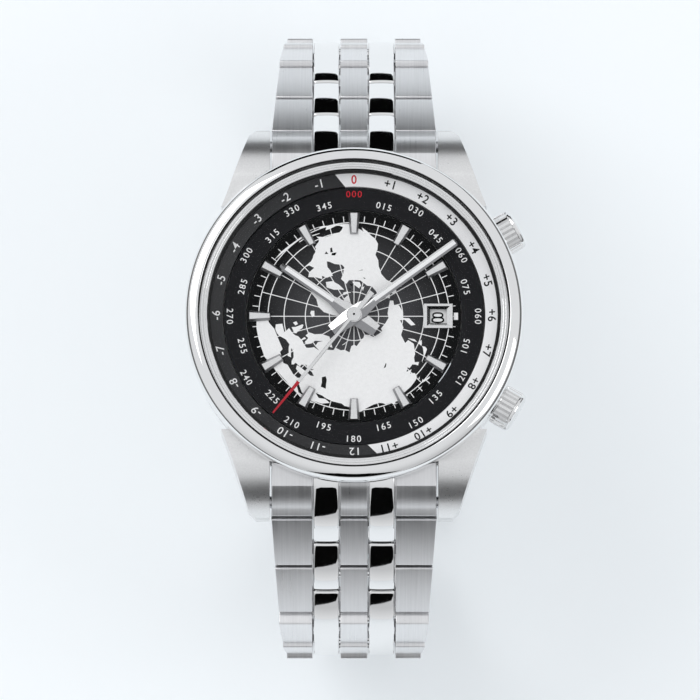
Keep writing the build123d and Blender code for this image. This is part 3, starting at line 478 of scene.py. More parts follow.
land_shapes = {
    "north_america": (
        (71, -156), (70, -145), (69, -135), (70, -128), (68, -115), (68, -108), (68, -97), (70, -92),
        (66, -86), (63, -91), (59, -94), (57, -92), (55, -85), (52, -81), (51, -79), (55, -77),
        (58, -78), (62, -78), (61, -70), (58, -67), (60, -65), (56, -61), (52, -56), (50, -60),
        (50, -66), (46, -64), (45, -61), (45, -66), (43, -70), (41, -72), (40, -74), (37, -76),
        (35, -76), (32, -80), (29, -81), (25, -80), (28, -83), (30, -85), (30, -90), (29, -95),
        (26, -97), (22, -98), (19, -96), (18, -94), (21, -90), (21, -87), (16, -88), (15, -84),
        (11, -84), (9, -80), (11, -74), (12, -71), (10, -62), (6, -57), (4, -51), (0, -50), (0, -80),
        (7, -78), (8, -82), (10, -86), (13, -88), (16, -95), (17, -101), (20, -105), (23, -106),
        (27, -110), (31, -113), (28, -111), (23, -110), (28, -114), (32, -117), (34, -120),
        (38, -123), (43, -124), (48, -124), (51, -128), (55, -131), (59, -138), (60, -146),
        (59, -152), (55, -163), (58, -158), (60, -164), (62, -166), (64, -161), (66, -168), (68, -164),
    ),
    "greenland": (
        (83, -35), (81, -15), (77, -19), (72, -23), (68, -30), (65, -40), (60, -44), (64, -52),
        (69, -52), (74, -57), (76, -68), (79, -67), (82, -55),
    ),
    "baffin": ((73, -85), (70, -68), (66, -62), (63, -66), (65, -74), (69, -80)),
    "ellesmere": ((83, -75), (82, -62), (78, -75), (77, -88), (80, -92), (82, -85)),
    "victoria": ((73, -115), (71, -105), (69, -102), (69, -114), (71, -118)),
    "banks": ((74, -124), (72, -120), (71, -124)),
    "devon": ((76, -90), (76, -80), (74.5, -80), (74.5, -92)),
    "iceland": ((66, -23), (66.4, -16), (65, -13.6), (63.5, -19), (64, -22.5)),
    "britain": (
        (58.6, -5), (57.5, -2), (54, 0), (52.5, 1.7), (51, 1), (50, -5), (53, -4.5), (55, -5), (58, -6),
    ),
    "ireland": ((55, -7), (53, -6), (51.5, -9), (54, -10)),
    "eurasia": (
        (37, -9), (43, -9), (43.5, -2), (48, -4.5), (49.5, 0), (51, 3), (53, 5), (54, 9), (57, 8),
        (57.5, 10.5), (54.5, 10), (54.3, 14), (54.5, 19), (57, 21.5), (59, 23), (60, 30), (60, 23),
        (63, 21), (66, 24), (62, 17.5), (59, 18), (56, 16), (55.4, 13), (58, 11.5), (59, 10.5),
        (58, 7), (61, 5), (64, 10), (68, 14), (71, 25), (70, 31), (67, 41), (66, 34), (64, 37),
        (66, 44), (68, 46), (68, 54), (69, 60), (68, 68), (72, 70), (73, 75), (72, 80), (74, 86),
        (76, 98), (77.5, 104), (76, 113), (73, 118), (72, 129), (71, 137), (72.5, 140), (71, 152),
        (69.5, 162), (70, 170), (69, 178), (66.5, -171), (64.5, -173), (65, -179), (62, 179),
        (60, 170), (60, 163), (56, 163), (51, 157), (54, 155.6), (59, 161), (62, 160), (59, 152),
        (59, 143), (54, 137), (53, 141), (48, 140), (43, 133), (42, 130), (39, 127.5), (36, 129.5),
        (34.5, 127), (37, 126.5), (39.5, 125), (39, 121.5), (41, 121), (38.5, 118), (37, 122),
        (35, 119), (32, 121.5), (28, 121), (25, 119), (22.5, 114), (21.5, 110), (20, 106), (16, 108),
        (11, 109), (9, 105), (13, 100.5), (8, 100), (2, 103.5), (1.5, 104), (6, 100), (10, 98.6),
        (16, 97.5), (16, 94.5), (20, 93), (22, 91), (21.5, 87), (16, 81.5), (12, 80), (8, 77.5),
        (13, 74.5), (20, 73), (22, 69), (25, 67), (25.5, 61), (27, 56.5), (30, 50), (29.5, 48),
        (26, 50.5), (24, 52), (26, 56), (22.5, 59.7), (17, 55), (13, 45), (20, 40.5), (28, 35),
        (30, 32.5), (22, 36.5), (15, 39.5), (11.5, 43), (11.7, 51), (5, 48), (0, 43), (0, 9.5),
        (4, 9), (6, 4), (5, -2), (4.5, -8), (8, -13), (12, -17), (15, -17.3), (21, -17), (27, -13),
        (31, -10), (35, -6), (36.8, 3), (37, 10), (33.5, 11), (32, 15), (30.5, 19), (33, 21.5),
        (31, 29), (31.3, 33), (36, 36), (36.5, 31), (37, 27.5), (40, 26), (41, 29), (41.5, 35),
        (41, 39), (42.5, 41.5), (45, 37), (47, 38.5), (45, 35), (44.5, 34), (46, 31), (43, 28),
        (41, 28.5), (40.5, 24), (38, 24), (36.5, 23), (38.5, 21), (42, 19.5), (45.5, 13.7),
        (44, 12.5), (41, 17), (40, 18.5), (38, 16), (40.5, 14.5), (42.5, 11), (44.3, 8.8), (43, 4),
        (41.5, 2.5), (38.5, 0), (36.7, -2.5), (36, -5.5),
    ),
    "hokkaido": ((45.5, 142), (43.4, 145.5), (42, 143), (41.5, 141)),
    "honshu": (
        (41, 141), (38, 141.5), (35.5, 140.5), (34.5, 136), (33.5, 131), (31.5, 130.5), (34, 131),
        (35.5, 135), (37, 137), (39.5, 140),
    ),
    "sakhalin": ((54, 142.5), (49, 144), (46, 142.5), (50, 142)),
    "novaya_zemlya": ((76.5, 67), (73, 56), (71, 52), (72, 56)),
    "svalbard": ((80, 15), (79, 24), (77, 17), (79, 11)),
    "borneo": ((7, 117), (5, 119), (1, 118), (0, 117), (0, 109), (2, 110), (4, 114)),
    "sumatra": ((5.5, 95.5), (3, 99), (0, 104), (0, 99.5)),
    "philippines": (
        (18.5, 122), (16, 122), (13, 124), (10, 126), (7, 126), (6, 125), (9, 123), (14, 120),
    ),
    "taiwan": ((25, 122), (22, 121), (23, 120)),
    "cuba": ((23, -83), (22.5, -79), (20, -74.5), (20, -77.5), (22, -82.5)),
    "hispaniola": ((20, -72.5), (19.5, -69), (18, -69), (18.3, -74)),
}


def outlined(shape, places, height):
    """A printed area inside an outline given as latitudes and longitudes."""
    corners = [shape.verts.new((x * mm, y * mm, height * mm)) for x, y in (on_map(*p) for p in places)]
    edges = [shape.edges.new(pair) for pair in zip(corners, corners[1:] + corners[:1])]
    bmesh.ops.triangle_fill(shape, edges=edges, use_beauty=True, normal=(0, 0, 1))


land = bmesh.new()
for places in land_shapes.values():
    outlined(land, places, land_height)
face_up(land)
put(land, "map_land", "case", [print_white])

print_black = Finish("print_black", (0.006, 0.006, 0.006), 0.0, 0.45, Specular_IOR_Level=0.12)
print_black.grained(3000, (0.35, 0.55))
lakes = bmesh.new()
for places in (
    ((47, 50), (45, 47.5), (41, 49.5), (37, 50), (37, 54), (41, 53), (45, 52)),
    ((49, -88), (47, -90), (46.5, -86), (48, -85)),
    ((46, -87), (42, -87.5), (42, -86), (45.5, -85)),
    ((46, -83), (43.5, -82), (45, -80)),
    ((60.8, -115), (62, -110), (61, -116)),
    ((66, -122), (65.5, -118), (66.5, -120)),
    ((72, -100), (70, -97), (71, -103)),
    ((74, -97), (73, -93), (73.5, -99)),
    ((76, -100), (75, -95), (75.5, -103)),
    ((54, 109), (52, 106.5), (52.2, 104.5), (54.5, 108.5)),
):
    outlined(lakes, places, land_height + 2 * print_step)
face_up(lakes)
put(lakes, "map_lakes", "case", [print_black])


# The hour markers are cut from bright steel, wider towards the edge, with a flat top between two
# steep flanks, and stand on the dial on feet. The flanks are in a darker steel, which is painted shade.
marker_steel = steel("marker_steel", (0.88, 0.88, 0.88), 0.1, 9000, 0.2e-6)
# A darker copy of the marker steel: painted shade for the flanks.
shaded_flank_steel = steel("shaded_flank_steel", (0.42, 0.42, 0.43), 0.34, 9000, 0.3e-6)
seat_height = dial_top + 0.002
marker_start, marker_end = 10.32, 13.06
marker_outline = ((marker_start, -0.48), (marker_end, -0.74), (marker_end, 0.74), (marker_start, 0.48))


def drawn(shape, faces):
    """Extrudes faces and gives the new points and faces."""
    made = bmesh.ops.extrude_face_region(shape, geom=faces)["geom"]
    kinds = bmesh.types.BMVert, bmesh.types.BMFace
    return [[one for one in made if isinstance(one, kind)] for kind in kinds]


def marker(angle):
    """One marker: its outline drawn up, then drawn in to its narrower top."""
    shape = bmesh.new()
    top = [shape.faces.new([shape.verts.new((x * mm, y * mm, seat_height * mm)) for x, y in marker_outline])]
    for rise, across, inwards in ((0.14, 1.0, 0.0), (0.34, 0.58, -0.1)):
        verts, top = drawn(shape, top)
        bmesh.ops.translate(shape, vec=(0, 0, rise * mm), verts=verts)
        bmesh.ops.scale(shape, vec=(1, across, 1), verts=verts)
        for vert in verts:
            vert.co.x += inwards * mm * (1 if vert.co.x > (marker_start + marker_end) / 2 * mm else -1)
    bmesh.ops.recalc_face_normals(shape, faces=shape.faces)
    rounded(shape, [edge for edge in shape.edges if edge.calc_face_angle(0) > 0.4], 0.03 * mm, 1)
    shape.normal_update()
    # Steep faces take the darker steel as painted shade; the flat top keeps the bright one.
    for face in shape.faces:
        face.material_index = int(abs(face.normal.z) < 0.9)
    turned(shape, shape.verts, angle)
    return shape


def merged(shapes):
    """Several shapes as one."""
    whole = bmesh.new()
    for shape in shapes:
        mesh = bpy.data.meshes.new("merged")
        shape.to_mesh(mesh)
        shape.free()
        whole.from_mesh(mesh)
        bpy.data.meshes.remove(mesh)
    return whole


markers = merged([marker(math.radians(30 * hour)) for hour in range(1, 12)])
finishes = [marker_steel, shaded_flank_steel]
put(markers, "hour_markers", "case", finishes, ["hour_markers"], 18)


# The date disc is a white ring with plain black figures that turns close under the dial. A
# bevelled steel frame is set round its window.
disc_white = Finish("disc_white", (0.90, 0.90, 0.90), 0.0, 0.4, Specular_IOR_Level=0.3)
disc_white.grained(4200, (0.34, 0.48), ((0.87, 0.87, 0.87), (0.92, 0.92, 0.92)))
disc_inner, disc_outer, disc_bottom, disc_top = 8.96, 12.09, 6.96, 7.86
disc_profile = [
    (disc_inner, disc_bottom), (disc_outer, disc_bottom), (disc_outer, disc_top), (disc_inner, disc_top),
]
put(spun(disc_profile), "date_disc", "date_disc", [disc_white], ["date_disc"])

window_place = 10.45
frame_half, frame_opening, frame_height_share = 1.8, 1.04, 0.867
frame_profile = [
    (frame_half, seat_height), (frame_half, 8.66), (1.75, 8.7), (1.42, 8.7), (frame_opening, 8.4),
    (frame_opening, seat_height),
]
window_frame = spun([(half * math.sqrt(2), height) for half, height in frame_profile], 4)
window_frame.transform(Matrix.Rotation(math.pi / 4, 4, "Z"))
window_frame.transform(Matrix.Diagonal((1, frame_height_share, 1, 1)))
window_frame.transform(Matrix.Translation((window_place * mm, 0, 0)))
put(window_frame, "date_frame", "case", [marker_steel], ["date_frame"], 20)


def figures(words, size, weight, spacing):
    """Plain figures as a flat shape, centred on the origin, in millimetres."""
    curve = bpy.data.curves.new("figures", "FONT")
    curve.body = words
    curve.size = size
    curve.offset = weight
    curve.space_character = spacing
    curve.align_x = "CENTER"
    curve.resolution_u = 4
    made = bpy.data.objects.new("figures", curve)
    mesh = bpy.data.meshes.new_from_object(made)
    shape = bmesh.new()
    shape.from_mesh(mesh)
    bpy.data.objects.remove(made)
    bpy.data.meshes.remove(mesh)
    across, up = [vert.co.x for vert in shape.verts], [vert.co.y for vert in shape.verts]
    middle = Vector((min(across) + max(across), min(up) + max(up), 0)) / 2
    bmesh.ops.translate(shape, vec=-middle, verts=shape.verts)
    return shape


def oval(x, y, wide, high, first=90, last=450):
    """Points along an oval with full corners, from one angle to another in degrees."""
    turns = [math.radians(first + (last - first) * step / 20) for step in range(21)]
    shares = [[math.copysign(abs(s) ** 0.8, s) for s in (math.cos(t), math.sin(t))] for t in turns]
    return [(x + wide * across, y + high * up) for across, up in shares]


def trace(shape, points, half, height):
    """A printed line of one width along a path, closed where it ends as it begins."""
    points = [Vector((x, y, height)) for x, y in points]
    closed = (points[0] - points[-1]).length < half / 10
    if closed:
        points.pop()
    pairs = []
    for index, point in enumerate(points):
        before = points[index - 1] if closed or index else point
        after = points[(index + 1) % len(points)] if closed or index < len(points) - 1 else point
        steps = [step.normalized() for step in (point - before, after - point) if step.length]
        along = sum(steps, Vector()).normalized()
        side = Vector((-along.y, along.x, 0)) * half / max(0.6, along.dot(steps[0]))
        pairs.append((shape.verts.new(point + side), shape.verts.new(point - side)))
    for (left, right), (next_left, next_right) in zip(pairs, pairs[1:] + (pairs[:1] if closed else [])):
        shape.faces.new((left, right, next_right, next_left))


six = [oval(0, 0.3, 0.49, 0.3), oval(0, 0.5, 0.49, 0.5, 50, 190)]
digits = {
    "0": [oval(0, 0.5, 0.5, 0.5)],
    "1": [[(-0.28, 0.78), (0.06, 1), (0.06, 0)]],
    "2": [oval(0, 0.71, 0.45, 0.29, 165, -35) + [(-0.48, 0), (0.5, 0)]],
    "3": [oval(0, 0.76, 0.42, 0.24, 160, -90), oval(0, 0.27, 0.48, 0.27, 90, -160)],
    "4": [[(0.22, 0), (0.22, 1), (-0.5, 0.28), (0.5, 0.28)]],
    "5": [[(0.42, 1), (-0.36, 1)] + oval(0, 0.31, 0.48, 0.31, 130, -160)],
    "6": six,
    "7": [[(-0.46, 1), (0.48, 1), (-0.1, 0)]],
    "8": [oval(0, 0.76, 0.43, 0.24), oval(0, 0.26, 0.5, 0.26)],
    "9": [[(-x, 1 - y) for x, y in path] for path in six],
}
shown_day = 8
figure_place, figure_middle, figure_height = 10.38, 0.58, 1.2
figure_line_half = 0.1
dates = bmesh.new()
for day in range(1, 32):
    words = str(day)
    wide, pitch = (1.4, 0) if day < 10 else (0.7, 1.04)
    before = len(dates.verts)
    for place, digit in enumerate(words):
        shift = figure_place + (place - (len(words) - 1) / 2) * pitch
        for path in digits[digit]:
            points = [((x * wide + shift) * mm, (y - figure_middle) * figure_height * mm) for x, y in path]
            trace(dates, points, figure_line_half * mm, (disc_top + 0.012) * mm)
    turned(dates, list(dates.verts)[before:], math.tau * (day - shown_day) / 31)
face_up(dates)
put(dates, "date_figures", "date_disc", [print_black])


# The city ring turns on the upper crown. It is matt black with plain white figures for the
# longitude of each zone at two radii, and a red one for the first.
ring_black = Finish("ring_black", (0.012, 0.012, 0.014), 0.0, 0.45, Specular_IOR_Level=0.07)
ring_tones = (0.008, 0.008, 0.009), (0.015, 0.015, 0.017)
ring_black.grained(6000, (0.36, 0.52), ring_tones, 0.2e-6, 2.0)
recoated("city_ring", ring_black)
print_red = Finish("print_red", (0.60, 0.012, 0.025), 0.0, 0.45, Specular_IOR_Level=0.2)
print_red.grained(3000, (0.36, 0.54))


def wrapped(shape, radius, turn, height, outward=True, slope=0.0):
    """Bends flat figures round the dial: turn is clockwise from 12, slope the ring's rise outwards."""
    way = 1 if outward else -1
    for vert in shape.verts:
        reach = radius + way * vert.co.y
        angle = math.pi / 2 - turn - way * vert.co.x / radius
        rise = height + slope * (reach - radius)
        vert.co = Vector((reach * math.cos(angle), reach * math.sin(angle), rise)) * mm
    return shape


zone_height = 8.412
zone_radii = (15.38, 14.3)
zones = []
for zone in range(24):
    label = figures(f"{15 * zone:03d}", 1.14, 0.004, 1.25)
    upright = zone < 6 or zone > 18
    zones.append(wrapped(label, zone_radii[zone % 2], math.radians(15 * zone), zone_height, upright))
for name, labels, ink in (("zone_figures", zones[1:], print_white), ("zone_first", zones[:1], print_red)):
    shape = merged(labels)
    face_up(shape)
    put(shape, name, "city_ring", [ink])


# The hour ring slopes up to the bezel and is fixed. One half is white for the hours ahead and one
# black for the hours behind, parted by slanted borders.
ring_inner, ring_outer = 16.27, 17.88
ring_section = ((ring_inner, 6.92), (ring_outer, 6.92), (ring_outer, 9.5), (ring_inner, 8.76))
border_slant = 2.4
first_border, second_border = -3.9, 174.0


def half_ring(low, high):
    """A stretch of the sloped ring between two angles clockwise from 12, with slanted ends."""
    shape = bmesh.new()
    end = shape.faces.new([shape.verts.new((radius * mm, 0, height * mm)) for radius, height in ring_section])
    spin(shape, [end], 90, math.radians(high - low))
    turned(shape, shape.verts, math.radians(90 - high))
    for vert in shape.verts:
        reach = math.hypot(vert.co.x, vert.co.y) / mm
        vert.co = Matrix.Rotation(math.radians(border_slant * (reach - ring_inner)), 3, "Z") @ vert.co
    bmesh.ops.recalc_face_normals(shape, faces=shape.faces)
    return shape


ring_white = Finish("ring_white", (0.84, 0.84, 0.84), 0.0, 0.35, Specular_IOR_Level=0.3)
ring_white.grained(3800, (0.3, 0.42), ((0.86, 0.86, 0.87), (0.87, 0.87, 0.87)))
hour_black = Finish("hour_black", (0.022, 0.022, 0.024), 0.0, 0.4, Specular_IOR_Level=0.3)
hour_black.grained(6000, (0.32, 0.46), ((0.018, 0.018, 0.019), (0.027, 0.027, 0.029)), detail=2.0)
white_half, black_half = half_ring(first_border, second_border), half_ring(second_border, 360 + first_border)
put(white_half, "hour_ring_white", "case", [ring_white], ["hour_ring"])
put(black_half, "hour_ring_black", "case", [hour_black], ["hour_ring"])

hour_radius, hour_height, hour_slope = 17.08, 9.142, 0.455
for paint, ink, weight, labels in (
    ("white", print_white, 0.008, {hour: f"-{24 - hour}" for hour in range(13, 24)} | {12: "12"}),
    ("black", print_black, 0.022, {hour: f"+{hour}" for hour in range(1, 12)}),
    ("red", print_red, 0.022, {0: "0"}),
):
    shapes = []
    for hour, words in sorted(labels.items()):
        label = figures(words, 1.42, weight, 1.1)
        shapes.append(wrapped(label, hour_radius, math.radians(15 * hour), hour_height, True, hour_slope))
    shape = merged(shapes)
    face_up(shape)
    put(shape, f"hour_figures_{paint}", "case", [ink])


# The hands are steel blades on pipes, one above another, with one polished facet and one rougher
# facet along a ridge, the rougher one darker as painted shade, and further out a raised strip of
# pale paint. The seconds hand has a red tip.
hand_steel = steel("hand_steel", (0.86, 0.86, 0.86), 0.12, 9000, 0.2e-6)
# A rougher copy of the hand steel whose dark tone is painted shade on one facet of each hand.
shaded_facet_steel = steel("shaded_facet_steel", (0.34, 0.34, 0.35), 0.3, 9000, 0.3e-6)
rim, ridge = 0.08, 0.26
hub_radius, hub_ease = 1.02, 0.06
strip_width, strip_depth, strip_rise = 0.44, 0.1, 0.35


def cut(shape, place, across):
    """Cuts every face along a plane and keeps both sides."""
    bmesh.ops.bisect_plane(
        shape, geom=shape.verts[:] + shape.edges[:] + shape.faces[:], dist=1e-7, plane_co=place,
        plane_no=across, use_snap_center=False, clear_outer=False, clear_inner=False,
    )


def blade(outline, height, shaded_side):
    """A hand along X from one side's outline: drawn up by its rim, then ridged along its middle."""
    shape = bmesh.new()
    whole = [*outline, *[(x, -y) for x, y in reversed(outline)]]
    shape.faces.new([shape.verts.new((x * mm, y * mm, height * mm)) for x, y in reversed(whole)])
    cut(shape, (0, 0, 0), (0, 1, 0))
    for x, y in outline[1:-1]:
        cut(shape, (x * mm, 0, 0), (1, 0, 0))
    upper, _ = drawn(shape, shape.faces[:])
    bmesh.ops.translate(shape, vec=(0, 0, rim * mm), verts=upper)
    middle = [vert for vert in upper if abs(vert.co.y) < 1e-7]
    bmesh.ops.translate(shape, vec=(0, 0, ridge * mm), verts=middle)
    # The facets on one side take the darker steel, painted shade.
    for face in shape.faces:
        face.material_index = int(face.calc_center_median().y * shaded_side > 0)
    bmesh.ops.create_cone(
        shape, cap_ends=True, radius1=hub_radius * mm, radius2=(hub_radius - hub_ease) * mm,
        depth=(rim + ridge) * mm, segments=64,
        matrix=Matrix.Translation((0, 0, (height + (rim + ridge) / 2 + 0.01) * mm)),
    )
    bmesh.ops.recalc_face_normals(shape, faces=shape.faces)
    return shape


for body, degrees, reach, point, height, shaded_side in (
    ("hour_hand", 145.2, 11.06, 0.75, 9.01, 1),
    ("minute_hand", 36.0, 15.66, 0.2, 9.41, -1),
):
    neck = reach - point
    outline = [(-3.36, 0.78), (-1.0, 1.05), (1.3, 0.98), (3.6, 0.5), (neck, 0.47), (reach, 0.24)]
    angle = math.radians(degrees)
    hand = blade(outline, height, shaded_side)
    turned(hand, hand.verts, angle)
    put(hand, body, body, [hand_steel, shaded_facet_steel], [body], 8)
    strip = bmesh.new()
    stroke(strip, 3.1, neck, strip_width, angle, height + strip_rise)
    lower, _ = drawn(strip, strip.faces[:])
    bmesh.ops.translate(strip, vec=(0, 0, -strip_depth * mm), verts=lower)
    bmesh.ops.recalc_face_normals(strip, faces=strip.faces)
    put(strip, f"{body}_strip", body, [ring_white])

seconds_angle = math.radians(-129)
tip_start = 10.9 * mm
pointing = Vector((math.cos(seconds_angle), math.sin(seconds_angle), 0))
across = Vector((-pointing.y, pointing.x, 0))
seconds_hand = eased("seconds_hand", 0.03, 1)
cut(seconds_hand, pointing * tip_start, pointing)
for vert in seconds_hand.verts:
    past = vert.co.dot(pointing) - tip_start
    if past > 0:
        vert.co -= across * vert.co.dot(across) * min(0.5, 0.12 * past / mm)
for face in seconds_hand.faces:
    face.material_index = int(face.calc_center_median().dot(pointing) > tip_start)
hand_red = Finish("hand_red", (0.42, 0.012, 0.025), 0.0, 0.35, Specular_IOR_Level=0.3)
hand_red.grained(3000, (0.28, 0.44))
finishes = [hand_steel, hand_red]
put(seconds_hand, "seconds_hand", "seconds_hand", finishes, ["seconds_hand"], 12)
arbor_tip = bmesh.new()
at_tip = Matrix.Translation((0, 0, 10.006 * mm))
bmesh.ops.create_circle(arbor_tip, cap_ends=True, radius=0.14 * mm, segments=24, matrix=at_tip)
put(arbor_tip, "arbor_tip", "seconds_hand", [print_black])


# The two crowns are fluted and polished with a domed cap, each screwed to its own stem: the upper
# one turns the city ring, the lower one is pulled out to set the time.
crown_radius, crown_place, crown_level = 2.53, 20.76, 5
flutes, flute_share = 24, 0.88
cap_place = 1.88
cap_profile = [
    (0, 0), (2.2, 0), (2.24, 0.14), (2.48, 0.2), (2.5, 0.3), (2.5, 0.44), (2.44, 0.56), (2.3, 0.66),
    (2.0, 0.75), (1.5, 0.79), (0, 0.8),
]


def crown(angle):
    """A fluted barrel with a smooth domed cap, made upright, laid along X and turned to its place."""
    shape = bmesh.new()
    rim_verts = bmesh.ops.create_circle(
        shape, cap_ends=True, radius=crown_radius * mm, segments=4 * flutes
    )["verts"]
    for number, vert in enumerate(sorted(rim_verts, key=lambda one: math.atan2(one.co.y, one.co.x))):
        if number % 4 == 0:
            vert.co *= flute_share
    section = shape.faces[:]
    for length, size in ((0.0, 0.97), (0.1, 1.03), (1.9, 1.0), (0.1, 0.965)):
        verts, section = drawn(shape, section)
        bmesh.ops.translate(shape, vec=(0, 0, length * mm), verts=verts)
        bmesh.ops.scale(shape, vec=(size, size, 1), verts=verts)
    cap = spun(cap_profile, 64)
    cap.transform(Matrix.Translation((0, 0, cap_place * mm)))
    whole = merged([shape, cap])
    bmesh.ops.recalc_face_normals(whole, faces=whole.faces)
    whole.transform(Matrix.Translation((crown_place * mm, 0, 0)) @ Matrix.Rotation(math.pi / 2, 4, "Y"))
    whole.transform(Matrix.Translation((0, 0, crown_level * mm)) @ Matrix.Rotation(angle, 4, "Z"))
    return whole


crown_steel = steel("crown_steel", (0.86, 0.86, 0.86), 0.09, 5000, 0.2e-6)
for node, body, angle in (("crown_2", "ring_crown", math.pi / 6), ("crown_4", "time_crown", -math.pi / 6)):
    put(crown(angle), node, body, [crown_steel], [node], 24)
tool_steel = steel("tool_steel", (0.62, 0.63, 0.65), 0.3, 4000, 0.6e-6)
for node in ("stem_2", "stem_4", "setting_lever"):
    recoated(node, tool_steel)


# The end links fill the gap between the lugs: five columns on a core, brushed and polished by
# turns, bent down over the case's shoulder and held by spring bars.
brushed_across = (1, 0.02, 0.02)
brushed_steel = steel("brushed_steel", (0.80, 0.80, 0.81), 0.3, 5200, 1.6e-6, brushed_across)
centre_half = 1.7
polished_near, polished_far = 1.85, 5.05
outer_near, end_half, core_half = 5.2, 10.2, 10.1
brushed_ease, polished_ease, core_ease = 0.1, 0.16, 0.05


def crowned(start, end, rise, count=9):
    """Points from start to end along a shallow arch."""
    line = Vector(end) - Vector(start)
    out = Vector((-line.y, line.x)).normalized()
    shares = [step / (count - 1) for step in range(count)]
    return [tuple(Vector(start) + line * s + out * rise * 4 * s * (1 - s)) for s in shares]


def link(outline, left, right, ease, segments=3, bow=(0, 0)):
    """A solid drawn across the bracelet from an outline along it, with its edges rounded. A bow
    gives how far along and outwards its middle stands over its sides."""
    shape = bmesh.new()
    side = shape.faces.new([shape.verts.new((left, u, w)) for u, w in outline])
    steps = 8 if any(bow) else 1
    for step in range(steps):
        verts, faces = drawn(shape, [side])
        if step:
            shape.faces.remove(side)
        side = faces[0]
        bmesh.ops.translate(shape, vec=((right - left) / steps, 0, 0), verts=verts)
    for vert in shape.verts:
        fall = ((2 * vert.co.x - left - right) / (right - left)) ** 2
        vert.co -= Vector((0, *bow)) * fall
    bmesh.ops.recalc_face_normals(shape, faces=shape.faces)
    sharp = [edge for edge in shape.edges if edge.calc_face_angle() > math.radians(25)]
    rounded(shape, sharp, ease, segments)
    return shape


def row_frame(side, reach, height, slope):
    """From a row's own millimetres (across, along, outwards) to the watch's metres."""
    lean = math.radians(slope)
    cos, sin = math.cos(lean), math.sin(lean)
    rows = ((1, 0, 0, 0), (0, side * cos, side * sin, side * reach), (0, -sin, cos, height), (0, 0, 0, 1))
    return Matrix.Diagonal((mm, mm, mm, 1)) @ Matrix(rows)


def placed(shapes, matrix):
    """Several shapes as one, set in place with their faces outwards."""
    whole = merged(shapes)
    whole.transform(matrix)
    bmesh.ops.recalc_face_normals(whole, faces=whole.faces)
    return whole


brushed_bend = [*crowned((20.9, 6.35), (23.55, 3.95), 0.16), (24.25, 3.3), (24.1, 2.95), (23.0, 1.3)]
polished_bend = [
    (19.6, 1.75), (19.6, 6.65), *crowned((20.9, 6.3), (26.85, 0.42), 0.45, 15), (26.98, -0.1),
    (25.1, -1.45), (24.3, -1.1), (21.0, 1.7),
]
core_bend = [(19.9, 1.9), (19.9, 6.1), (20.9, 5.85), (23.3, 3.4), (22.6, 1.9)]
brushed_columns = (
    (-centre_half, centre_half, 20.1), (outer_near, end_half, 17.7), (-end_half, -outer_near, 17.7),
)
polished_columns = ((polished_near, polished_far), (-polished_far, -polished_near))
for side, tag in ((1, "12"), (-1, "6")):
    brushed, polished = [], []
    for left, right, start in brushed_columns:
        outline = [(start, 1.75), (start, 6.7), *brushed_bend, (21.0, 1.7)]
        brushed.append(link(outline, left, right, brushed_ease))
    for left, right in polished_columns:
        polished.append(link(polished_bend, left, right, polished_ease, 4, (0.06, 0.06)))
    brushed.append(link(core_bend, -core_half, core_half, core_ease, 1))
    flipped = Matrix.Diagonal((mm, side * mm, mm, 1))
    node = f"end_link_{tag}"
    put(placed(brushed, flipped), f"{node}_brushed", "case", [brushed_steel], [node])
    put(placed(polished, flipped), f"{node}_polished", "case", [polished_steel], [node], 40)
recoated("spring_bars", tool_steel)


# Each row of the bracelet is a brushed link of three blocks on a bar, with two polished links
# between the blocks that hang on a pin, so that the row behind can turn on it.
row_pitch = 7.4
row_start, row_level, row_back = 24.9, 0.2, -1.85
taper_depth = 0.3
pin_radius = 0.5
widths = (20.5, 19.6, 18.7, 17.8, 16.9, 16.0, 16.0, 16.0, 16.0)
brushed_top = crowned((-1.72, 1.28), (5.22, 1.28), 0.11)
brushed_side = [(row_back, 0.95), *brushed_top, (5.35, 0.95), (5.35, -1.4), (-1.05, -1.4), (row_back, -0.6)]
bar_side = [(2.9, -1.1), (4.5, -1.1), (4.5, 0), (2.9, 0)]
polished_top = crowned((2.25, 1.16), (9.05, 1.16), 0.24, 15)
polished_side = [
    (2.05, 0.9), *polished_top, (9.25, 0.9), (9.25, -0.6), (8.45, -1.4), (4.52, -1.4), (4.52, 0.02),
    (2.88, 0.02), (2.88, -1.4), (2.05, -1.4),
]
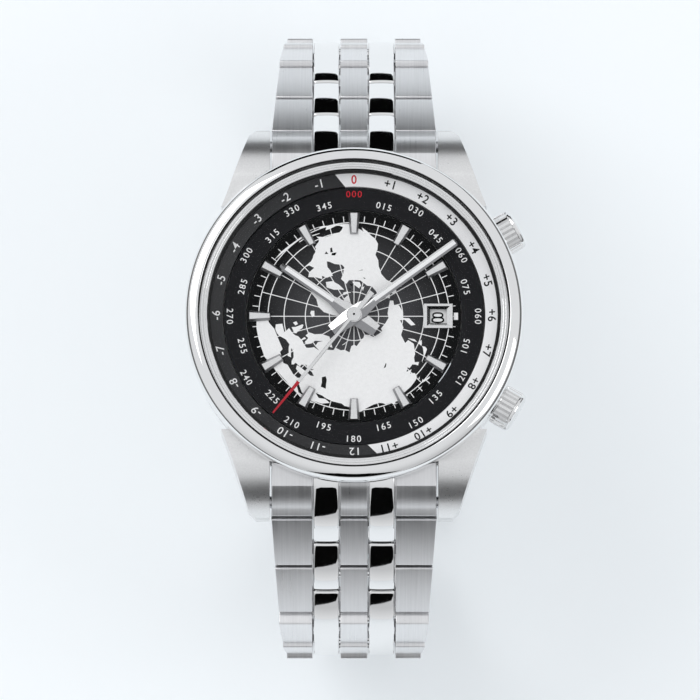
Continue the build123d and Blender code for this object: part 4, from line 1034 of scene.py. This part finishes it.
for side, tag, slopes in (
    (1, "12", (45, 48, 66, 77, 98, 130, 156, 174)),
    (-1, "6", (45, 48, 79, 92, 114, 136, 160)),
):
    reach, height = row_start, row_level
    for number, slope in enumerate(slopes):
        seat = row_frame(side, reach, height, slope)
        near, far = widths[number], widths[number + 1]
        brushed = [link(brushed_side, -centre_half, centre_half, brushed_ease)]
        for flip in (1, -1):
            block = link(brushed_side, *sorted((flip * outer_near, flip * near / 2)), brushed_ease)
            for vert in block.verts:
                if abs(vert.co.x) > near / 2 - taper_depth:
                    vert.co.x -= flip * (near - far) / 2 * (vert.co.y - row_back) / row_pitch
            brushed.append(block)
        brushed.append(link(bar_side, -outer_near, outer_near, core_ease, 1))
        polished = [
            link(polished_side, left, right, polished_ease, 4, (0, 0.08)) for left, right in polished_columns
        ]
        pin = bmesh.new()
        bmesh.ops.create_cone(
            pin, cap_ends=True, radius1=pin_radius, radius2=pin_radius, depth=2 * polished_near,
            segments=32, matrix=Matrix.Translation((0, row_pitch, 0)) @ Matrix.Rotation(math.pi / 2, 4, "Y"),
        )
        polished.append(pin)
        node = f"row_{tag}_{number + 1}"
        put(placed(brushed, seat), f"{node}_brushed", node, [brushed_steel], [node])
        put(placed(polished, seat), f"{node}_polished", node, [polished_steel], [node], 40)
        reach += row_pitch * math.cos(math.radians(slope))
        height -= row_pitch * math.sin(math.radians(slope))


# The fold-over clasp is bent from sheet: a cover over two hinged blades, let go by a sprung button
# on each side.
clasp_steel = steel("clasp_steel", (0.80, 0.80, 0.81), 0.3, 5200, 1.6e-6, brushed_across)
put(eased("clasp_cover", 0.12), "clasp_cover", "clasp_cover", [clasp_steel], ["clasp_cover"])
for node in ("clasp_inner_blade", "clasp_outer_blade"):
    put(eased(node, 0.08), node, node, [polished_steel], [node])
for node in ("clasp_button_right", "clasp_button_left"):
    put(eased(node, 0.2, 3), node, node, [polished_steel], [node])


# The movement lies in a moulded ring: a rhodium plated main plate with a bridge and a cock, gilt
# wheels, and a half-disc rotor with stripes that winds it.
rhodium = Finish("movement_nickel", (0.70, 0.70, 0.70), 1.0, 0.3)
stripes = rhodium.place.node(
    "ShaderNodeTexWave",
    {"wave_type": "BANDS", "bands_direction": "X", "wave_profile": "SAW"},
    {"Vector": rhodium.place, "Scale": 95.0, "Distortion": 0.0},
    output=1,
)
rhodium_grain = rhodium.noise(rhodium.place, 5200)
rhodium.drive("Roughness", rhodium.span(stripes * 0.7 + rhodium_grain * 0.3, 0.2, 0.42))
rhodium.drive("Base Color", stripes.ramp((0.0, (0.62, 0.62, 0.62)), (1.0, (0.76, 0.76, 0.76))))
rhodium.bump(stripes, 6e-6)
gilt = Finish("movement_brass", (0.83, 0.64, 0.34), 1.0, 0.25)
gilt.grained(3600, (0.18, 0.34), ((0.78, 0.58, 0.29), (0.86, 0.67, 0.37)), 0.8e-6)
holder = Finish("holder_plastic", (0.60, 0.60, 0.58), 0.0, 0.5)
holder.grained(3000, (0.42, 0.6), ((0.56, 0.56, 0.54), (0.64, 0.64, 0.62)), 3e-6)
recoated("movement_ring", holder)
for node in ("main_plate", "train_bridge", "balance_cock", "rotor"):
    recoated(node, rhodium)
for node in ("mainspring_barrel", "seconds_wheel", "balance_wheel", "hour_wheel", "cannon_pinion"):
    recoated(node, gilt)
